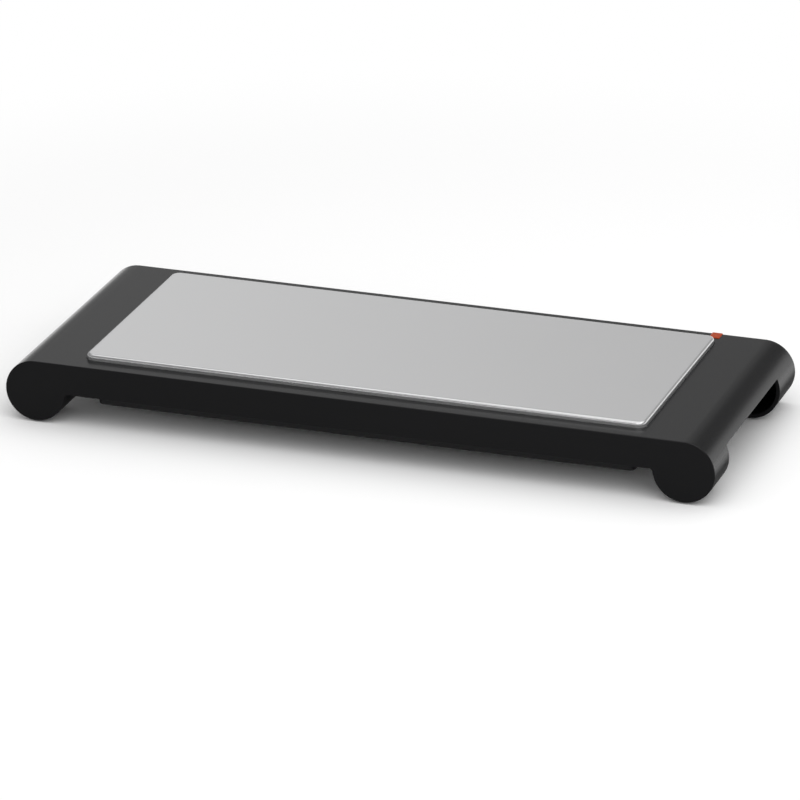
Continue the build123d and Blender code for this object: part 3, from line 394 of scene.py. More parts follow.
def noise_from(tree, place, scale, detail):
    """A noise pattern at a place, with its scale from another socket."""
    noise = tree.nodes.new("ShaderNodeTexNoise")
    noise.inputs["Detail"].default_value = detail
    tree.links.new(place, noise.inputs["Vector"])
    tree.links.new(scale, noise.inputs["Scale"])
    return noise.outputs["Fac"]


def spread(tree, value, source, target):
    """A smooth step from one pair of values to another."""
    step = tree.nodes.new("ShaderNodeMapRange")
    step.interpolation_type = "SMOOTHSTEP"
    for title, number in zip(("From Min", "From Max", "To Min", "To Max"), (*source, *target)):
        step.inputs[title].default_value = number
    tree.links.new(value, step.inputs["Value"])
    return step.outputs["Result"]


def blend_values(tree, mask, first, second):
    """The first value where the mask is nought, and the second where it is one."""
    blend = tree.nodes.new("ShaderNodeMix")
    tree.links.new(mask, blend.inputs["Factor"])
    for title, value in (("A", first), ("B", second)):
        if isinstance(value, (int, float)):
            blend.inputs[title].default_value = value
        else:
            tree.links.new(value, blend.inputs[title])
    return blend.outputs["Result"]


def moulded_grain():
    """The fine spark-eroded grain of a moulding, with slow changes of tone."""
    if "moulded_grain" in bpy.data.node_groups:
        return bpy.data.node_groups["moulded_grain"]
    tree, start, end = group_with("moulded_grain", MOULDED_VALUES, ("Height", "Tone"))
    place = tree.nodes.new("ShaderNodeTexCoord").outputs["Object"]
    tree.links.new(noise_from(tree, place, start.outputs["Grain"], detail=2.0), end.inputs["Height"])
    tree.links.new(noise_from(tree, place, start.outputs["Patches"], detail=4.0), end.inputs["Tone"])
    return tree


def rolled_grain():
    """The fine lines that rolling and brushing leave in a sheet, along X."""
    if "rolled_grain" in bpy.data.node_groups:
        return bpy.data.node_groups["rolled_grain"]
    tree, start, end = group_with("rolled_grain", ROLLED_VALUES, ("Height", "Tone"))
    place = tree.nodes.new("ShaderNodeTexCoord").outputs["Object"]
    parts = tree.nodes.new("ShaderNodeSeparateXYZ")
    squeeze = tree.nodes.new("ShaderNodeMath")
    squeeze.operation = "MULTIPLY"
    whole = tree.nodes.new("ShaderNodeCombineXYZ")
    tree.links.new(place, parts.inputs["Vector"])
    tree.links.new(parts.outputs["X"], squeeze.inputs[0])
    tree.links.new(start.outputs["Stretch"], squeeze.inputs[1])
    tree.links.new(squeeze.outputs["Value"], whole.inputs["X"])
    tree.links.new(parts.outputs["Y"], whole.inputs["Y"])
    tree.links.new(parts.outputs["Z"], whole.inputs["Z"])
    stretched = whole.outputs["Vector"]
    tree.links.new(noise_from(tree, stretched, start.outputs["Lines"], detail=2.0), end.inputs["Height"])
    tree.links.new(noise_from(tree, place, start.outputs["Patches"], detail=3.0), end.inputs["Tone"])
    return tree


def finish(name, group, values, colour, tones, roughness, depth, sockets):
    """A material on one grain group: its tone moves the colour and roughness, its height makes the bump."""
    material = bpy.data.materials.new(name)
    material.use_nodes = True
    tree = material.node_tree
    shader = tree.nodes["Principled BSDF"]
    grain = tree.nodes.new("ShaderNodeGroup")
    grain.node_tree = group
    for title, value in values.items():
        grain.inputs[title].default_value = value
    shade = tree.nodes.new("ShaderNodeMix")
    shade.data_type = "RGBA"
    shade.inputs["A"].default_value = (*[c * (1 - tones) for c in colour], 1)
    shade.inputs["B"].default_value = (*[min(c * (1 + tones), 1) for c in colour], 1)
    tree.links.new(grain.outputs["Tone"], shade.inputs["Factor"])
    tree.links.new(shade.outputs["Result"], shader.inputs["Base Color"])
    dull = tree.nodes.new("ShaderNodeMapRange")
    dull.inputs["To Min"].default_value, dull.inputs["To Max"].default_value = roughness
    tree.links.new(grain.outputs["Tone"], dull.inputs["Value"])
    tree.links.new(dull.outputs["Result"], shader.inputs["Roughness"])
    strength, height = depth
    bump = tree.nodes.new("ShaderNodeBump")
    bump.inputs["Strength"].default_value = strength
    bump.inputs["Distance"].default_value = height * MM
    tree.links.new(grain.outputs["Height"], bump.inputs["Height"])
    tree.links.new(bump.outputs["Normal"], shader.inputs["Normal"])
    for title, value in sockets.items():
        shader.inputs[title].default_value = value
    return material


def moulded(name, colour, roughness, grain, depth, sockets=None):
    """A moulded plastic or rubber, or a paint."""
    return finish(name, moulded_grain(), {**MOULDED_VALUES, "Grain": grain}, colour, MOULDED_TONES, roughness,
                  depth, sockets or PLAIN_GLOSS)


def rolled(name, colour, roughness, lines, depth=(0.10, 0.02), sockets=None):
    """A rolled or brushed metal sheet."""
    return finish(name, rolled_grain(), {**ROLLED_VALUES, "Lines": lines}, colour, ROLLED_TONES, roughness,
                  depth, {"Metallic": 1.0, **(sockets or {})})


def polish_top(material, weight, coarse):
    """A polish on the top and the round ends, and a coarser texture on the front, rear and lower faces."""
    tree = material.node_tree
    shader = tree.nodes["Principled BSDF"]
    facing = tree.nodes.new("ShaderNodeSeparateXYZ")
    tree.links.new(tree.nodes.new("ShaderNodeNewGeometry").outputs["Normal"], facing.inputs["Vector"])
    size = tree.nodes.new("ShaderNodeMath")
    size.operation = "ABSOLUTE"
    tree.links.new(facing.outputs["Y"], size.inputs[0])
    upright = spread(tree, size.outputs["Value"], WALL_TURN, RISE)
    upward = spread(tree, facing.outputs["Z"], UPPER_TURN, RISE)
    polished = blend_values(tree, upright, upward, 0.0)
    smooth = shader.inputs["Roughness"].links[0].from_socket
    tree.links.new(blend_values(tree, polished, coarse, smooth), shader.inputs["Roughness"])
    tree.links.new(blend_values(tree, polished, 0.0, weight), shader.inputs["Coat Weight"])


def paint_cad_nodes(names, material):
    """Give CAD nodes whose shape is right a better finish."""
    for name in names:
        piece = frame["nodes"][name]
        piece.data.materials.clear()
        piece.data.materials.append(material)


# Pieces

def casing_outline(bm, sizes, end_x, end_z, underside):
    """Half of the outline round the right foot, mirrored to the left."""
    turn = (0, 1, 0)
    reach = sizes.end_radius + sizes.foot_round
    drop = end_z - (underside - sizes.foot_round)
    across = math.sqrt(reach ** 2 - drop ** 2)
    lean = math.asin(drop / reach)
    point = bm.verts.new((0, FRONT, TOP))
    point = run_to(bm, point, (end_x, FRONT, TOP))
    foot_angle = math.radians(270) - lean
    point = arc_about(bm, point, (end_x, FRONT, end_z), turn, foot_angle, ROUND_STEPS)
    corner = (end_x - across, FRONT, underside - sizes.foot_round)
    point = arc_about(bm, point, corner, turn, lean - math.radians(90), steps=10)
    run_to(bm, point, (0, FRONT, underside))
    bmesh.ops.mirror(bm, geom=bm.verts[:] + bm.edges[:], matrix=Matrix.Identity(4), merge_dist=TINY, axis="X")


def casing_hollows(sizes, end_x, end_z, underside):
    """What is taken out from below: the chamber, the hollow of each end, and the finger gaps."""
    inner_y = REAR - sizes.wall
    roof = TOP - sizes.wall
    chamber_x = end_x - sizes.end_radius - sizes.foot_round
    gap_front = FRONT + sizes.front_foot
    gap_rear = REAR - sizes.rear_foot
    bore = 2 * (sizes.end_radius - sizes.wall)
    hollows = [box_between((-chamber_x, -inner_y, 0), (chamber_x, inner_y, roof))]
    for side in SIDES:
        places = (chamber_x - sizes.wall, chamber_x + sizes.wall, end_x, CASING_HIGH.x + PAST)
        inner, near, far, outside = (side * x for x in places)
        hollows.append(box_between((near, -inner_y, underside + sizes.wall), (far, inner_y, roof)))
        hollows.append(bar((far, 0, end_z), (0, 1, 0), bore, 2 * inner_y, ROUND_STEPS))
        hollows.append(box_between((near, gap_front, 0), (outside, gap_rear, TOP - sizes.grip_lip)))
        hollows.append(box_between((inner, gap_front, 0), (outside, gap_rear, underside)))
    return hollows


def fitted_openings(settings):
    """Room in the casing for the lens, the pads, the switch and the cord bush."""
    sizes = settings.casing
    gap = sizes.lens_gap
    lap = settings.rear.bezel_lap
    slot = settings.rear.bush_body / 2 + settings.rear.bush_gap
    within = REAR - sizes.wall - PAST
    beyond = REAR + PAST
    lens_foot = LENS_LOW.z + settings.lens.stem
    openings = [box_between((LENS_LOW.x - gap, LENS_LOW.y - gap, lens_foot - gap),
                            (LENS_HIGH.x + gap, LENS_HIGH.y + gap, LENS_HIGH.z + PAST))]
    for name in FOOT_PADS:
        low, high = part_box(name)
        middle = (low + high) / 2
        openings.append(upright_bar(middle.x, middle.y, 0, high.z, high.x - low.x + 2 * sizes.pad_gap))
    openings.append(box_between((SWITCH_LOW.x + lap, within, SWITCH_LOW.z + lap),
                                (SWITCH_HIGH.x - lap, beyond, SWITCH_HIGH.z - lap)))
    openings.append(box_between((BUSH_MIDDLE.x - slot, within, 0),
                                (BUSH_MIDDLE.x + slot, beyond, BORE_Z + slot)))
    return openings


def build_casing(settings):
    """The whole moulding: outline, rims, hollow inside, feet, finger gaps, recess and openings."""
    sizes = settings.casing
    end_x = CASING_HIGH.x - sizes.end_radius
    end_z = TOP - sizes.end_radius
    underside = TOP - sizes.skirt
    bm = bmesh.new()
    casing_outline(bm, sizes, end_x, end_z, underside)
    extrude_outline(bm, (0, REAR - FRONT, 0))
    rims = [e for e in bm.edges if abs(e.verts[0].co.y - e.verts[1].co.y) < TINY]
    bevel(bm, rims, sizes.rim_round, segments=4)
    bm = cut(bm, *casing_hollows(sizes, end_x, end_z, underside))
    recess_x = PLATE_HIGH.x - PLATE_LOW.x + 2 * sizes.recess_gap
    recess_y = PLATE_HIGH.y - PLATE_LOW.y + 2 * sizes.recess_gap
    corner = settings.plate.corner + sizes.recess_gap
    ledge_top = TOP - sizes.recess_floor
    collar = slab(recess_x + 2 * sizes.collar, recess_y + 2 * sizes.collar, ledge_top - sizes.ledge,
                  TOP - sizes.wall / 2, corner + sizes.collar)
    recess = slab(recess_x, recess_y, ledge_top, TOP + PAST, corner)
    opening = slab(sizes.opening_length, sizes.opening_width, ledge_top - 2 * sizes.ledge, ledge_top + PAST,
                   sizes.opening_corner)
    bm = cut(join(bm, collar), recess, opening, *fitted_openings(settings))

    def on_skin(co):
        """On the top face or on a round end, away from the rims, which are round already."""
        if abs(co.y) > REAR - 2 * sizes.rim_round:
            return False
        from_axis = math.hypot(abs(co.x) - end_x, co.z - end_z)
        return abs(co.z - TOP) < HAIR or abs(from_axis - sizes.end_radius) < NEAR

    bevel(bm, sharp_edges(bm, on_skin), sizes.lip_round, segments=2)
    return bm


def add_sheet(piece, thickness):
    """Give a skin its sheet thickness, inwards."""
    sheet = piece.modifiers.new("Sheet", "SOLIDIFY")
    sheet.thickness = thickness
    sheet.offset = -1
    sheet.use_even_offset = True


def build_plate(sizes):
    """The tray's outer skin, open below. Its sheet comes from a Solidify modifier."""
    bm = box_between(PLATE_LOW, PLATE_HIGH)
    round_upright_edges(bm, sizes.corner)
    top = [e for e in bm.edges if all(abs(v.co.z - PLATE_HIGH.z) < TINY for v in e.verts)]
    bevel(bm, top, sizes.bend, segments=8)
    under = [f for f in bm.faces if f.normal.z < -FACING]
    bmesh.ops.delete(bm, geom=under, context="FACES_ONLY")
    return bm


def build_lens(sizes):
    """A block with rounded edges on a round stem over the lamp."""
    foot = LENS_LOW.z + sizes.stem
    bm = box_between((LENS_LOW.x, LENS_LOW.y, foot), LENS_HIGH)
    rounded = [e for e in bm.edges if max(v.co.z for v in e.verts) > foot + TINY]
    bevel(bm, rounded, sizes.round, segments=4)
    lamp_low, lamp_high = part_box("neon_lamp")
    middle = (lamp_low + lamp_high) / 2
    return join(bm, upright_bar(middle.x, middle.y, LENS_LOW.z, foot + sizes.stem, sizes.stem_diameter))


def pan_rim_mesh(sizes, height):
    """The outer edge of the pan's flat rim, as a loop of edges."""
    rim = box_between((PAN_LOW.x, PAN_LOW.y, height), PAN_HIGH)
    round_upright_edges(rim, sizes.rim_corner)
    bmesh.ops.delete(rim, geom=rim.faces[:], context="FACES_ONLY")
    above = [e for e in rim.edges if max(v.co.z for v in e.verts) > height + TINY]
    bmesh.ops.delete(rim, geom=above, context="EDGES")
    loop = bpy.data.meshes.new("pan_rim")
    rim.to_mesh(loop)
    rim.free()
    return loop


def build_pan(sizes):
    """The pan's skin, open above: a drawn tray with a flat rim round its mouth."""
    flange_z = PAN_HIGH.z - sizes.sheet
    bm = slab(sizes.drawn_length, sizes.drawn_width, PAN_LOW.z, flange_z, sizes.corner)
    lower = [e for e in bm.edges if all(abs(v.co.z - PAN_LOW.z) < TINY for v in e.verts)]
    bevel(bm, lower, sizes.edge_round, segments=6)
    upper = [f for f in bm.faces if f.normal.z > FACING]
    bmesh.ops.delete(bm, geom=upper, context="FACES_ONLY")
    mouth = [e for e in bm.edges if e.is_boundary]
    known = set(bm.edges)
    loop = pan_rim_mesh(sizes, flange_z)
    bm.from_mesh(loop)
    bpy.data.meshes.remove(loop)
    outer = [e for e in bm.edges if e not in known]
    bmesh.ops.bridge_loops(bm, edges=mouth + outer)
    bmesh.ops.recalc_face_normals(bm, faces=bm.faces[:])
    return bm


def cut_vents(piece, sizes):
    """Two rows of slots across the bottom of the pan, each in the middle of its half."""
    bm = bmesh.new()
    first = -sizes.vent_pitch * (sizes.vents - 1) / 2
    size = Vector((sizes.vent_width, sizes.vent_length, 4 * sizes.sheet))
    for i in range(sizes.vents):
        for side in SIDES:
            place = Vector((first + i * sizes.vent_pitch, side * sizes.drawn_width / 4, PAN_LOW.z))
            bmesh.ops.create_cube(bm, size=1.0, matrix=Matrix.LocRotScale(place, None, size))
    nearly_half_round = 0.98 * sizes.vent_width / 2
    round_upright_edges(bm, nearly_half_round, segments=6)
    slots = as_object("vent_slots", bm)
    step = piece.modifiers.new("Vents", "BOOLEAN")
    step.object = slots
    step.operation = "DIFFERENCE"
    step.solver = "EXACT"
    bpy.context.view_layer.update()
    shown = piece.evaluated_get(bpy.context.evaluated_depsgraph_get())
    mesh = bpy.data.meshes.new_from_object(shown)
    piece.modifiers.clear()
    piece.data = mesh
    bpy.data.objects.remove(slots)


def build_pad(low, high, sizes):
    """A round pad with a chamfer and a dish in its standing face."""
    middle = (low + high) / 2
    bm = upright_bar(middle.x, middle.y, low.z, high.z, high.x - low.x)
    foot = next(f for f in bm.faces if f.normal.z < -FACING)
    bevel(bm, foot.edges[:], sizes.chamfer, segments=2)
    foot = next(f for f in bm.faces if f.normal.z < -FACING and len(f.verts) > 4)
    bmesh.ops.inset_individual(bm, faces=[foot], thickness=sizes.dish_rim, depth=0.0)
    bmesh.ops.inset_individual(bm, faces=[foot], thickness=sizes.dish, depth=-sizes.dish)
    return bm


def rear_flange(low, high, corner, edge_round):
    """A flat block on the rear wall, with rounded corners and a rounded outer edge."""
    bm = box_between(low, high)
    bevel(bm, edges_along(bm, "y"), corner, segments=6)
    outer = [e for e in bm.edges if all(v.co.y > high[1] - TINY for v in e.verts)]
    bevel(bm, outer, edge_round, segments=4)
    return bm


def build_bush(sizes, wall):
    """A flange outside the wall, a square body in its slot, a flange inside, and the bore for the cord."""
    inside = REAR - wall
    half = sizes.bush_body / 2
    outer = rear_flange((GLAND_LOW.x, REAR, GLAND_LOW.z), GLAND_HIGH, sizes.bush_corner, sizes.bush_lip / 2)
    body = box_between((BUSH_MIDDLE.x - half, inside - TINY, GLAND_LOW.z),
                       (BUSH_MIDDLE.x + half, REAR + sizes.bush_lip / 4, BORE_Z + half))
    inner = box_between((GLAND_LOW.x, GLAND_LOW.y, PAN_HIGH.z + sizes.bush_gap),
                        (GLAND_HIGH.x, inside, GLAND_HIGH.z))
    bore = bar((BUSH_MIDDLE.x, BUSH_MIDDLE.y, BORE_Z), (0, 1, 0), sizes.bore, 4 * wall)
    bm = cut(join(outer, body, inner), bore)

    def at_mouth(co):
        """On the outer end of the bore."""
        from_axis = math.hypot(co.x - BUSH_MIDDLE.x, co.z - BORE_Z)
        return co.y > GLAND_HIGH.y - TINY and from_axis < sizes.bore / 2 + TINY

    bevel(bm, sharp_edges(bm, at_mouth), sizes.bore_round, segments=3)
    return bm


def build_housing(sizes):
    """The switch's housing: a box behind the wall with a bezel round its well."""
    front = REAR + sizes.bezel
    lap = sizes.bezel_lap
    wall = sizes.switch_wall
    bezel = rear_flange((SWITCH_LOW.x, REAR, SWITCH_LOW.z), (SWITCH_HIGH.x, front, SWITCH_HIGH.z),
                        sizes.bezel_round, sizes.bezel_round / 2)
    body_low = Vector((SWITCH_LOW.x + lap, SWITCH_LOW.y, SWITCH_LOW.z + lap))
    body_high = Vector((SWITCH_HIGH.x - lap, REAR + sizes.bezel / 2, SWITCH_HIGH.z - lap))
    well = box_between((body_low.x + wall, front - sizes.well, body_low.z + wall),
                       (body_high.x - wall, front + PAST, body_high.z - wall))
    return cut(join(bezel, box_between(body_low, body_high)), well)


def build_rocker(sizes):
    """The rocker's section about its pivot, drawn level, given its height and tipped."""
    inset = sizes.bezel_lap + sizes.switch_wall + sizes.rocker_gap
    swing = (SWITCH_HIGH.x - SWITCH_LOW.x) / 2 - inset
    height = SWITCH_HIGH.z - SWITCH_LOW.z - 2 * inset
    depth = REAR + sizes.bezel - PIVOT.y
    high = depth - sizes.bezel / 2 + sizes.rocker_rise
    low = -depth / 2
    high_x = math.sqrt(swing ** 2 - high ** 2)
    low_x = math.sqrt(swing ** 2 - low ** 2)
    dish_radius = (high_x ** 2 + sizes.rocker_dish ** 2) / (2 * sizes.rocker_dish)
    dish_centre = (0, high - sizes.rocker_dish + dish_radius, 0)
    dish_angle = 2 * math.asin(high_x / dish_radius)
    fall = math.atan2(high, high_x) - math.atan2(low, low_x)
    half_keel = sizes.keel_width / 2
    up = (0, 0, 1)
    bm = bmesh.new()
    point = bm.verts.new((-high_x, high, 0))
    point = arc_about(bm, point, dish_centre, up, dish_angle, steps=16)
    point = arc_about(bm, point, (0, 0, 0), up, -fall, steps=8)
    for place in ((half_keel, -sizes.keel, 0), (-half_keel, -sizes.keel, 0), (-low_x, low, 0)):
        point = run_to(bm, point, place)
    arc_about(bm, point, (0, 0, 0), up, -fall, steps=8)
    bmesh.ops.remove_doubles(bm, verts=bm.verts[:], dist=HAIR)
    extrude_outline(bm, (0, 0, height))
    bmesh.ops.translate(bm, verts=bm.verts[:], vec=(0, 0, -height / 2))
    edges = [e for e in bm.edges if abs(e.verts[0].co.z - e.verts[1].co.z) < TINY
             and min(v.co.y for v in e.verts) > 0]
    bevel(bm, edges, sizes.rocker_round, segments=2)
    turn = Matrix.Translation(PIVOT) @ Matrix.Rotation(sizes.rocker_angle, 4, "Z")
    bmesh.ops.transform(bm, matrix=turn, verts=bm.verts[:])
    return bm


class PLATEWARMER_OT_casing(bpy.types.Operator):
    """Model the black moulding"""
    bl_idname = "plate_warmer.casing"
    bl_label = "Casing"

    def execute(self, context):
        settings = context.scene.plate_warmer
        black = moulded("satin_black", settings.casing.colour, roughness=(0.22, 0.28), grain=2600.0,
                        depth=(0.12, 0.05), sockets={"Specular IOR Level": 0.07, "Coat Roughness": 0.14})
        polish_top(black, weight=0.42, coarse=0.6)
        keep_piece("casing_moulding", build_casing(settings), black, ["casing"])
        return {"FINISHED"}


class PLATEWARMER_OT_plate(bpy.types.Operator):
    """Model the steel warming plate"""
    bl_idname = "plate_warmer.plate"
    bl_label = "Warming plate"

    def execute(self, context):
        sizes = context.scene.plate_warmer.plate
        steel = rolled("satin_steel", sizes.colour, roughness=(0.18, 0.23), lines=2200.0, depth=(0.06, 0.02),
                       sockets={"Metallic": 0.80})
        piece = keep_piece("plate_tray", build_plate(sizes), steel, ["warming_plate"],
                           weighted=False)
        add_sheet(piece, sizes.sheet)
        weigh_normals(piece)
        return {"FINISHED"}


class PLATEWARMER_OT_lens(bpy.types.Operator):
    """Model the orange lens over the lamp"""
    bl_idname = "plate_warmer.lens"
    bl_label = "Indicator lens"

    def execute(self, context):
        sizes = context.scene.plate_warmer.lens
        orange = moulded("lens_orange", sizes.colour, roughness=(0.16, 0.22), grain=900.0, depth=(0.03, 0.02),
                         sockets={"Subsurface Weight": 0.25, "Subsurface Radius": (0.004, 0.0012, 0.0004),
                                  "Subsurface Scale": 1.0, "Specular IOR Level": 0.15})
        keep_piece("lens_block", build_lens(sizes), orange, ["indicator_lens"])
        return {"FINISHED"}


class PLATEWARMER_OT_pan(bpy.types.Operator):
    """Model the pressed base pan with its vents"""
    bl_idname = "plate_warmer.pan"
    bl_label = "Base pan"

    def execute(self, context):
        sizes = context.scene.plate_warmer.pan
        paint = moulded("pan_paint", sizes.colour, roughness=(0.38, 0.46), grain=1800.0, depth=(0.15, 0.06),
                        sockets={"Specular IOR Level": 0.12})
        piece = keep_piece("pan_pressing", build_pan(sizes), paint, ["base_pan"], weighted=False)
        add_sheet(piece, sizes.sheet)
        cut_vents(piece, sizes)
        weigh_normals(piece)
        return {"FINISHED"}


class PLATEWARMER_OT_pads(bpy.types.Operator):
    """Model the four rubber pads"""
    bl_idname = "plate_warmer.pads"
    bl_label = "Foot pads"

    def execute(self, context):
        sizes = context.scene.plate_warmer.pads
        rubber = moulded("pad_rubber", sizes.colour, roughness=(0.62, 0.74), grain=1500.0, depth=(0.25, 0.08))
        for name in FOOT_PADS:
            low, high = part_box(name)
            keep_piece(name + "_rubber", build_pad(low, high, sizes), rubber, [name])
        return {"FINISHED"}


class PLATEWARMER_OT_bush(bpy.types.Operator):
    """Model the cord bush in the rear wall"""
    bl_idname = "plate_warmer.bush"
    bl_label = "Cord bush"

    def execute(self, context):
        settings = context.scene.plate_warmer
        bush = build_bush(settings.rear, settings.casing.wall)
        black = moulded("bush_black", settings.rear.bush_colour, roughness=(0.42, 0.5), grain=1400.0,
                        depth=(0.12, 0.05), sockets={"Specular IOR Level": 0.18})
        keep_piece("cord_bush", bush, black, ["cord_gland"])
        return {"FINISHED"}


class PLATEWARMER_OT_switch(bpy.types.Operator):
    """Model the rocker switch: its housing and its rocker"""
    bl_idname = "plate_warmer.switch"
    bl_label = "Rocker switch"

    def execute(self, context):
        sizes = context.scene.plate_warmer.rear
        black = moulded("switch_black", sizes.switch_colour, roughness=(0.22, 0.28), grain=1200.0,
                        depth=(0.05, 0.03), sockets={"Specular IOR Level": 0.22})
        keep_piece("switch_housing", build_housing(sizes), black, ["switch_body"])
        keep_piece("switch_paddle", build_rocker(sizes), black, ["switch_rocker"],
                   body=MOVING_BODY)
        return {"FINISHED"}


# Finishes of the seal, the screws and the inner pieces

METALS = (
    ("zinc_plate", (0.55, 0.55, 0.53), (0.34, 0.42), 1500.0,
     ("element_pins", "element_straps", "plate_studs", "strap_nuts", "shield_washers", "shield_nuts",
      "thermostat_screws", "fuse_clip", "fuse_screw", "block_screw")),
    ("blacked_steel", (0.05, 0.05, 0.05), (0.35, 0.45), 1500.0, ("base_screws",)),
    ("mill_aluminium", (0.72, 0.73, 0.74), (0.26, 0.32), 2200.0, ("heat_spreader", "thermostat_cup")),
    ("baked_steel", (0.20, 0.17, 0.15), (0.4, 0.5), 2200.0, ("heating_element",)),
    ("coated_steel", (0.56, 0.57, 0.56), (0.3, 0.45), 600.0, ("heat_shield",)),
    ("plain_brass", (0.62, 0.42, 0.14), (0.25, 0.35), 2200.0,
     ("thermostat_tabs", "switch_tabs", "terminal_screws", "earth_tag", "thermal_fuse")),
)
SOFT_PIECES = {"plate_seal": (0.03, 0.03, 0.03), "shield_grommet": (0.015, 0.015, 0.015),
               "insulation_mat": (0.62, 0.58, 0.46)}
HARD_PIECES = {"element_beads": (0.75, 0.72, 0.64), "thermostat_body": (0.02, 0.018, 0.016),
               "lamp_holder": (0.62, 0.60, 0.55), "terminal_block": (0.70, 0.67, 0.58)}
BROWN = (0.10, 0.035, 0.012)
BLUE = (0.015, 0.06, 0.28)
GREEN = (0.16, 0.33, 0.02)
WHITE = (0.72, 0.70, 0.64)
LEADS = {"lead_live": BROWN, "lead_lamp_switch": BROWN, "lead_neutral": BLUE, "lead_lamp_neutral": BLUE,
         "lead_earth": GREEN, "lead_switched": WHITE, "lead_to_fuse": WHITE, "lead_to_element": WHITE}


class PLATEWARMER_OT_inner_pieces(bpy.types.Operator):
    """Give the seal, screws and inner pieces their finishes"""
    bl_idname = "plate_warmer.inner_pieces"
    bl_label = "Inner pieces"

    def execute(self, context):
        for finish_name, colour, roughness, lines, names in METALS:
            paint_cad_nodes(names, rolled(finish_name, colour, roughness, lines))
        for name, colour in SOFT_PIECES.items():
            soft = moulded(name + "_soft", colour, roughness=(0.6, 0.8), grain=1200.0, depth=(0.4, 0.15))
            paint_cad_nodes((name,), soft)
        for name, colour in HARD_PIECES.items():
            hard = moulded(name + "_hard", colour, roughness=(0.3, 0.4), grain=1200.0, depth=(0.1, 0.05))
            paint_cad_nodes((name,), hard)
        glass = moulded("lamp_envelope", (0.9, 0.8, 0.7), roughness=(0.03, 0.05), grain=300.0,
                        depth=(0.0, 0.0), sockets={"Transmission Weight": 0.8, "IOR": 1.5})
        paint_cad_nodes(("neon_lamp",), glass)
        for name, colour in LEADS.items():
            sleeve = moulded(name + "_sleeve", colour, roughness=(0.4, 0.5), grain=1800.0, depth=(0.2, 0.05))
            paint_cad_nodes((name,), sleeve)
        return {"FINISHED"}


# Studio

# What reflections see: brightness by a direction's X, then by its Z on the ceiling
SIDE_LEVELS = ((-0.9, 0.02), (-0.6, 0.07), (-0.46, 0.28), (-0.37, 0.64), (-0.24, 0.38), (-0.1, 0.36),
               (0.05, 0.20), (0.4, 0.20))
CEILING_LEVELS = ((0.55, 0.2), (0.76, 0.2), (0.84, 0.6), (0.93, 0.6), (0.975, 0.2))
# Where the white horizon, the ceiling, the dark room on the viewer's side and the table begin and end
HORIZON = (0.08, 0.32)
CEILING = (0.45, 0.55)
ROOM = (-0.25, -0.05)
TABLE = (-0.02, 0.01)
ROOM_LEVEL = 0.14
# The horizon is less white at the left than at the right
HORIZON_SIDES = (-0.4, 0.0)
HORIZON_WHITES = (0.3, 1.0)
FLOOR_REACH = 3.0
FLOOR_GREY = (0.8, 0.8, 0.8, 1)
FLOOR_WHITE = (1.0, 1.0, 1.0, 1)
# How far out the shadow fades into plain white
FLOOR_FADE = (0.42, 0.75)


def area_lamp(name, place, target, size, power):
    """A soft rectangular lamp that faces a point."""
    data = bpy.data.lights.new(name, "AREA")
    data.shape = "RECTANGLE"
    data.size, data.size_y = size
    data.energy = power
    lamp = bpy.data.objects.new(name, data)
    lamp.location = place
    lamp.rotation_euler = (Vector(target) - Vector(place)).to_track_quat("-Z", "Y").to_euler()
    bpy.context.scene.collection.objects.link(lamp)


def seen_rays(tree):
    """One for rays from the camera, from gloss and through glass, and nought for diffuse ones."""
    path = tree.nodes.new("ShaderNodeLightPath")
    total = path.outputs["Is Camera Ray"]
    for title in ("Is Glossy Ray", "Is Transmission Ray"):
        larger = tree.nodes.new("ShaderNodeMath")
        larger.operation = "MAXIMUM"
        tree.links.new(total, larger.inputs[0])
        tree.links.new(path.outputs[title], larger.inputs[1])
        total = larger.outputs["Value"]
    return total


def along(tree, value, stops):
    """A level that follows a row of stops, whose places run from -1 to 1."""
    place = tree.nodes.new("ShaderNodeMath")
    place.operation = "MULTIPLY_ADD"
    place.inputs[1].default_value = 0.5
    place.inputs[2].default_value = 0.5
    tree.links.new(value, place.inputs[0])
    ramp = tree.nodes.new("ShaderNodeValToRGB")
    tree.links.new(place.outputs["Value"], ramp.inputs["Fac"])
    steps = ramp.color_ramp.elements
    steps.remove(steps[0])
    first_place, first_level = stops[0]
    steps[0].position = 0.5 + 0.5 * first_place
    steps[0].color = (first_level, first_level, first_level, 1)
    for position, level in stops[1:]:
        steps.new(0.5 + 0.5 * position).color = (level, level, level, 1)
    return ramp.outputs["Color"]


def studio_world(strength):
    """Even light for diffuse rays, and soft bands of brightness for reflections."""
    world = bpy.data.worlds.new("studio_air")
    world.use_nodes = True
    tree = world.node_tree
    light = tree.nodes["Background"]
    light.inputs["Color"].default_value = (1, 1, 1, 1)
    direction = tree.nodes.new("ShaderNodeSeparateXYZ")
    tree.links.new(tree.nodes.new("ShaderNodeTexCoord").outputs["Generated"], direction.inputs["Vector"])
    x, y, z = (direction.outputs[axis] for axis in "XYZ")
    whites = spread(tree, x, HORIZON_SIDES, HORIZON_WHITES)
    horizon = blend_values(tree, whites, 0.0, spread(tree, z, HORIZON, FALL))
    level = blend_values(tree, horizon, along(tree, x, SIDE_LEVELS), 1.0)
    level = blend_values(tree, spread(tree, z, CEILING, RISE), level, along(tree, z, CEILING_LEVELS))
    level = blend_values(tree, spread(tree, y, ROOM, FALL), level, ROOM_LEVEL)
    level = blend_values(tree, spread(tree, z, TABLE, FALL), level, 1.0)
    level = blend_values(tree, seen_rays(tree), strength, level)
    path = tree.nodes.new("ShaderNodeLightPath")
    level = blend_values(tree, path.outputs["Is Camera Ray"], level, 1.0)
    tree.links.new(level, light.inputs["Strength"])
    bpy.context.scene.world = world


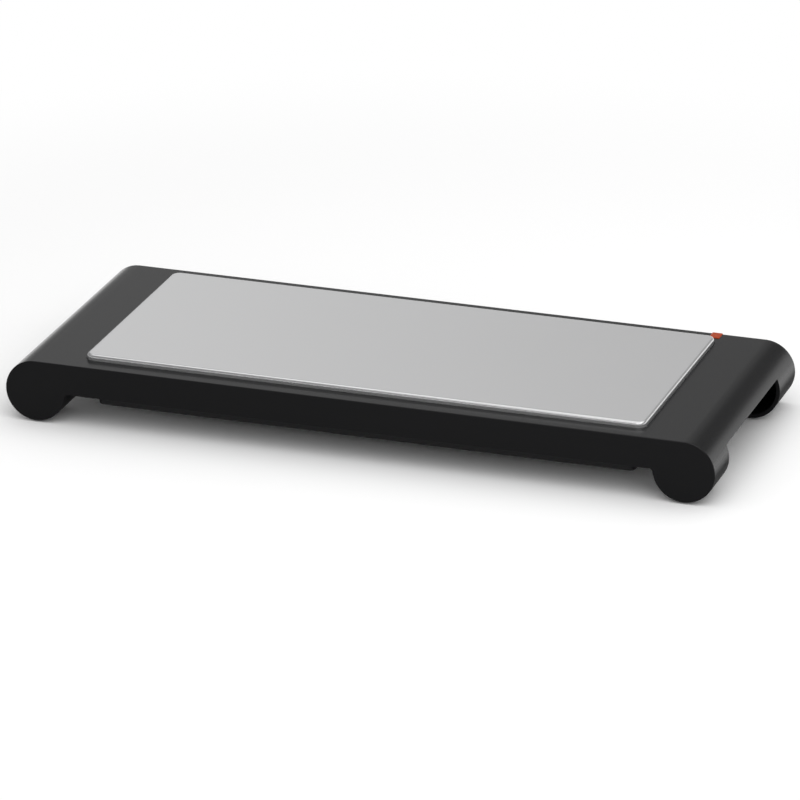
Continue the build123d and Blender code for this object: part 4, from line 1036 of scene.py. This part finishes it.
def floor_material():
    """A white floor that keeps the shadow near the object and is plain white further out."""
    material = bpy.data.materials.new("floor_white")
    material.use_nodes = True
    tree = material.node_tree
    tree.nodes.remove(tree.nodes["Principled BSDF"])
    paper = tree.nodes.new("ShaderNodeBsdfDiffuse")
    tone = tree.nodes.new("ShaderNodeMix")
    tone.data_type = "RGBA"
    tone.inputs["A"].default_value = FLOOR_GREY
    tone.inputs["B"].default_value = FLOOR_WHITE
    tree.links.new(seen_rays(tree), tone.inputs["Factor"])
    tree.links.new(tone.outputs["Result"], paper.inputs["Color"])
    glow = tree.nodes.new("ShaderNodeEmission")
    glow.inputs["Strength"].default_value = 1.0
    distance = tree.nodes.new("ShaderNodeVectorMath")
    distance.operation = "LENGTH"
    tree.links.new(tree.nodes.new("ShaderNodeTexCoord").outputs["Object"], distance.inputs[0])
    blend = tree.nodes.new("ShaderNodeMixShader")
    tree.links.new(spread(tree, distance.outputs["Value"], FLOOR_FADE, RISE), blend.inputs["Fac"])
    tree.links.new(paper.outputs["BSDF"], blend.inputs[1])
    tree.links.new(glow.outputs["Emission"], blend.inputs[2])
    clear = tree.nodes.new("ShaderNodeBsdfTransparent")
    side = tree.nodes.new("ShaderNodeNewGeometry")
    whole = tree.nodes.new("ShaderNodeMixShader")
    tree.links.new(side.outputs["Backfacing"], whole.inputs["Fac"])
    tree.links.new(blend.outputs["Shader"], whole.inputs[1])
    tree.links.new(clear.outputs["BSDF"], whole.inputs[2])
    tree.links.new(whole.outputs["Shader"], tree.nodes["Material Output"].inputs["Surface"])
    return material


class PLATEWARMER_OT_studio(bpy.types.Operator):
    """Set up the floor, the light and the camera"""
    bl_idname = "plate_warmer.studio"
    bl_label = "Studio"

    def execute(self, context):
        settings = context.scene.plate_warmer.studio
        context.scene.view_settings.view_transform = "Standard"
        bm = bmesh.new()
        bmesh.ops.create_grid(bm, x_segments=4, y_segments=4, size=FLOOR_REACH)
        floor = as_object("studio_floor", bm)
        floor.data.materials.append(floor_material())
        studio_world(settings.ambient)
        area_lamp("overhead_lamp", place=(0.25, 0.1, 1.3), target=(0.1, 0, 0), size=(2.0, 1.8),
                  power=settings.key_power)
        area_lamp("front_lamp", place=(0.5, -0.9, 1.05), target=(0, 0, 0), size=(1.9, 1.3),
                  power=settings.front_power)
        self.place_camera(context, settings)
        return {"FINISHED"}

    def place_camera(self, context, settings):
        """Look at the object along the given angles."""
        flat = math.cos(settings.elevation)
        back = Vector((math.sin(settings.azimuth) * flat, -math.cos(settings.azimuth) * flat,
                       math.sin(settings.elevation)))
        level = Vector((0, 0, 1)).cross(back).normalized()
        upright = back.cross(level)
        right = math.cos(settings.roll) * level + math.sin(settings.roll) * upright
        up = math.cos(settings.roll) * upright - math.sin(settings.roll) * level
        data = bpy.data.cameras.new("studio_camera")
        data.lens = settings.lens
        data.sensor_width = 36.0
        data.clip_end = 50.0
        camera = bpy.data.objects.new("studio_camera", data)
        place = Vector((settings.aim_x, 0, settings.aim_z)) + back * settings.distance
        camera.matrix_world = Matrix.Translation(place) @ Matrix((right, up, back)).transposed().to_4x4()
        context.scene.collection.objects.link(camera)
        context.scene.camera = camera


OPERATORS = (
    PLATEWARMER_OT_studio,
    PLATEWARMER_OT_casing,
    PLATEWARMER_OT_plate,
    PLATEWARMER_OT_lens,
    PLATEWARMER_OT_pan,
    PLATEWARMER_OT_pads,
    PLATEWARMER_OT_bush,
    PLATEWARMER_OT_switch,
    PLATEWARMER_OT_inner_pieces,
)


class PLATEWARMER_PT_panel(bpy.types.Panel):
    """Every piece of the plate warmer, in the order of the build"""
    bl_idname = "PLATEWARMER_PT_panel"
    bl_label = "Plate Warmer"
    bl_space_type = "VIEW_3D"
    bl_region_type = "UI"
    bl_category = "Plate Warmer"

    def draw(self, context):
        for operator in OPERATORS:
            self.layout.operator(operator.bl_idname)


CLASSES = (CasingSizes, PlateSizes, LensSizes, PanSizes, PadSizes, RearSizes, StudioSettings,
           PlateWarmerSettings, *OPERATORS, PLATEWARMER_PT_panel)


def register():
    for item in CLASSES:
        bpy.utils.register_class(item)
    bpy.types.Scene.plate_warmer = PointerProperty(type=PlateWarmerSettings)


def unregister():
    del bpy.types.Scene.plate_warmer
    for item in reversed(CLASSES):
        bpy.utils.unregister_class(item)


def main():
    register()
    for operator in OPERATORS:
        family, name = operator.bl_idname.split(".")
        getattr(getattr(bpy.ops, family), name)()


if __name__ == "__main__":
    main()
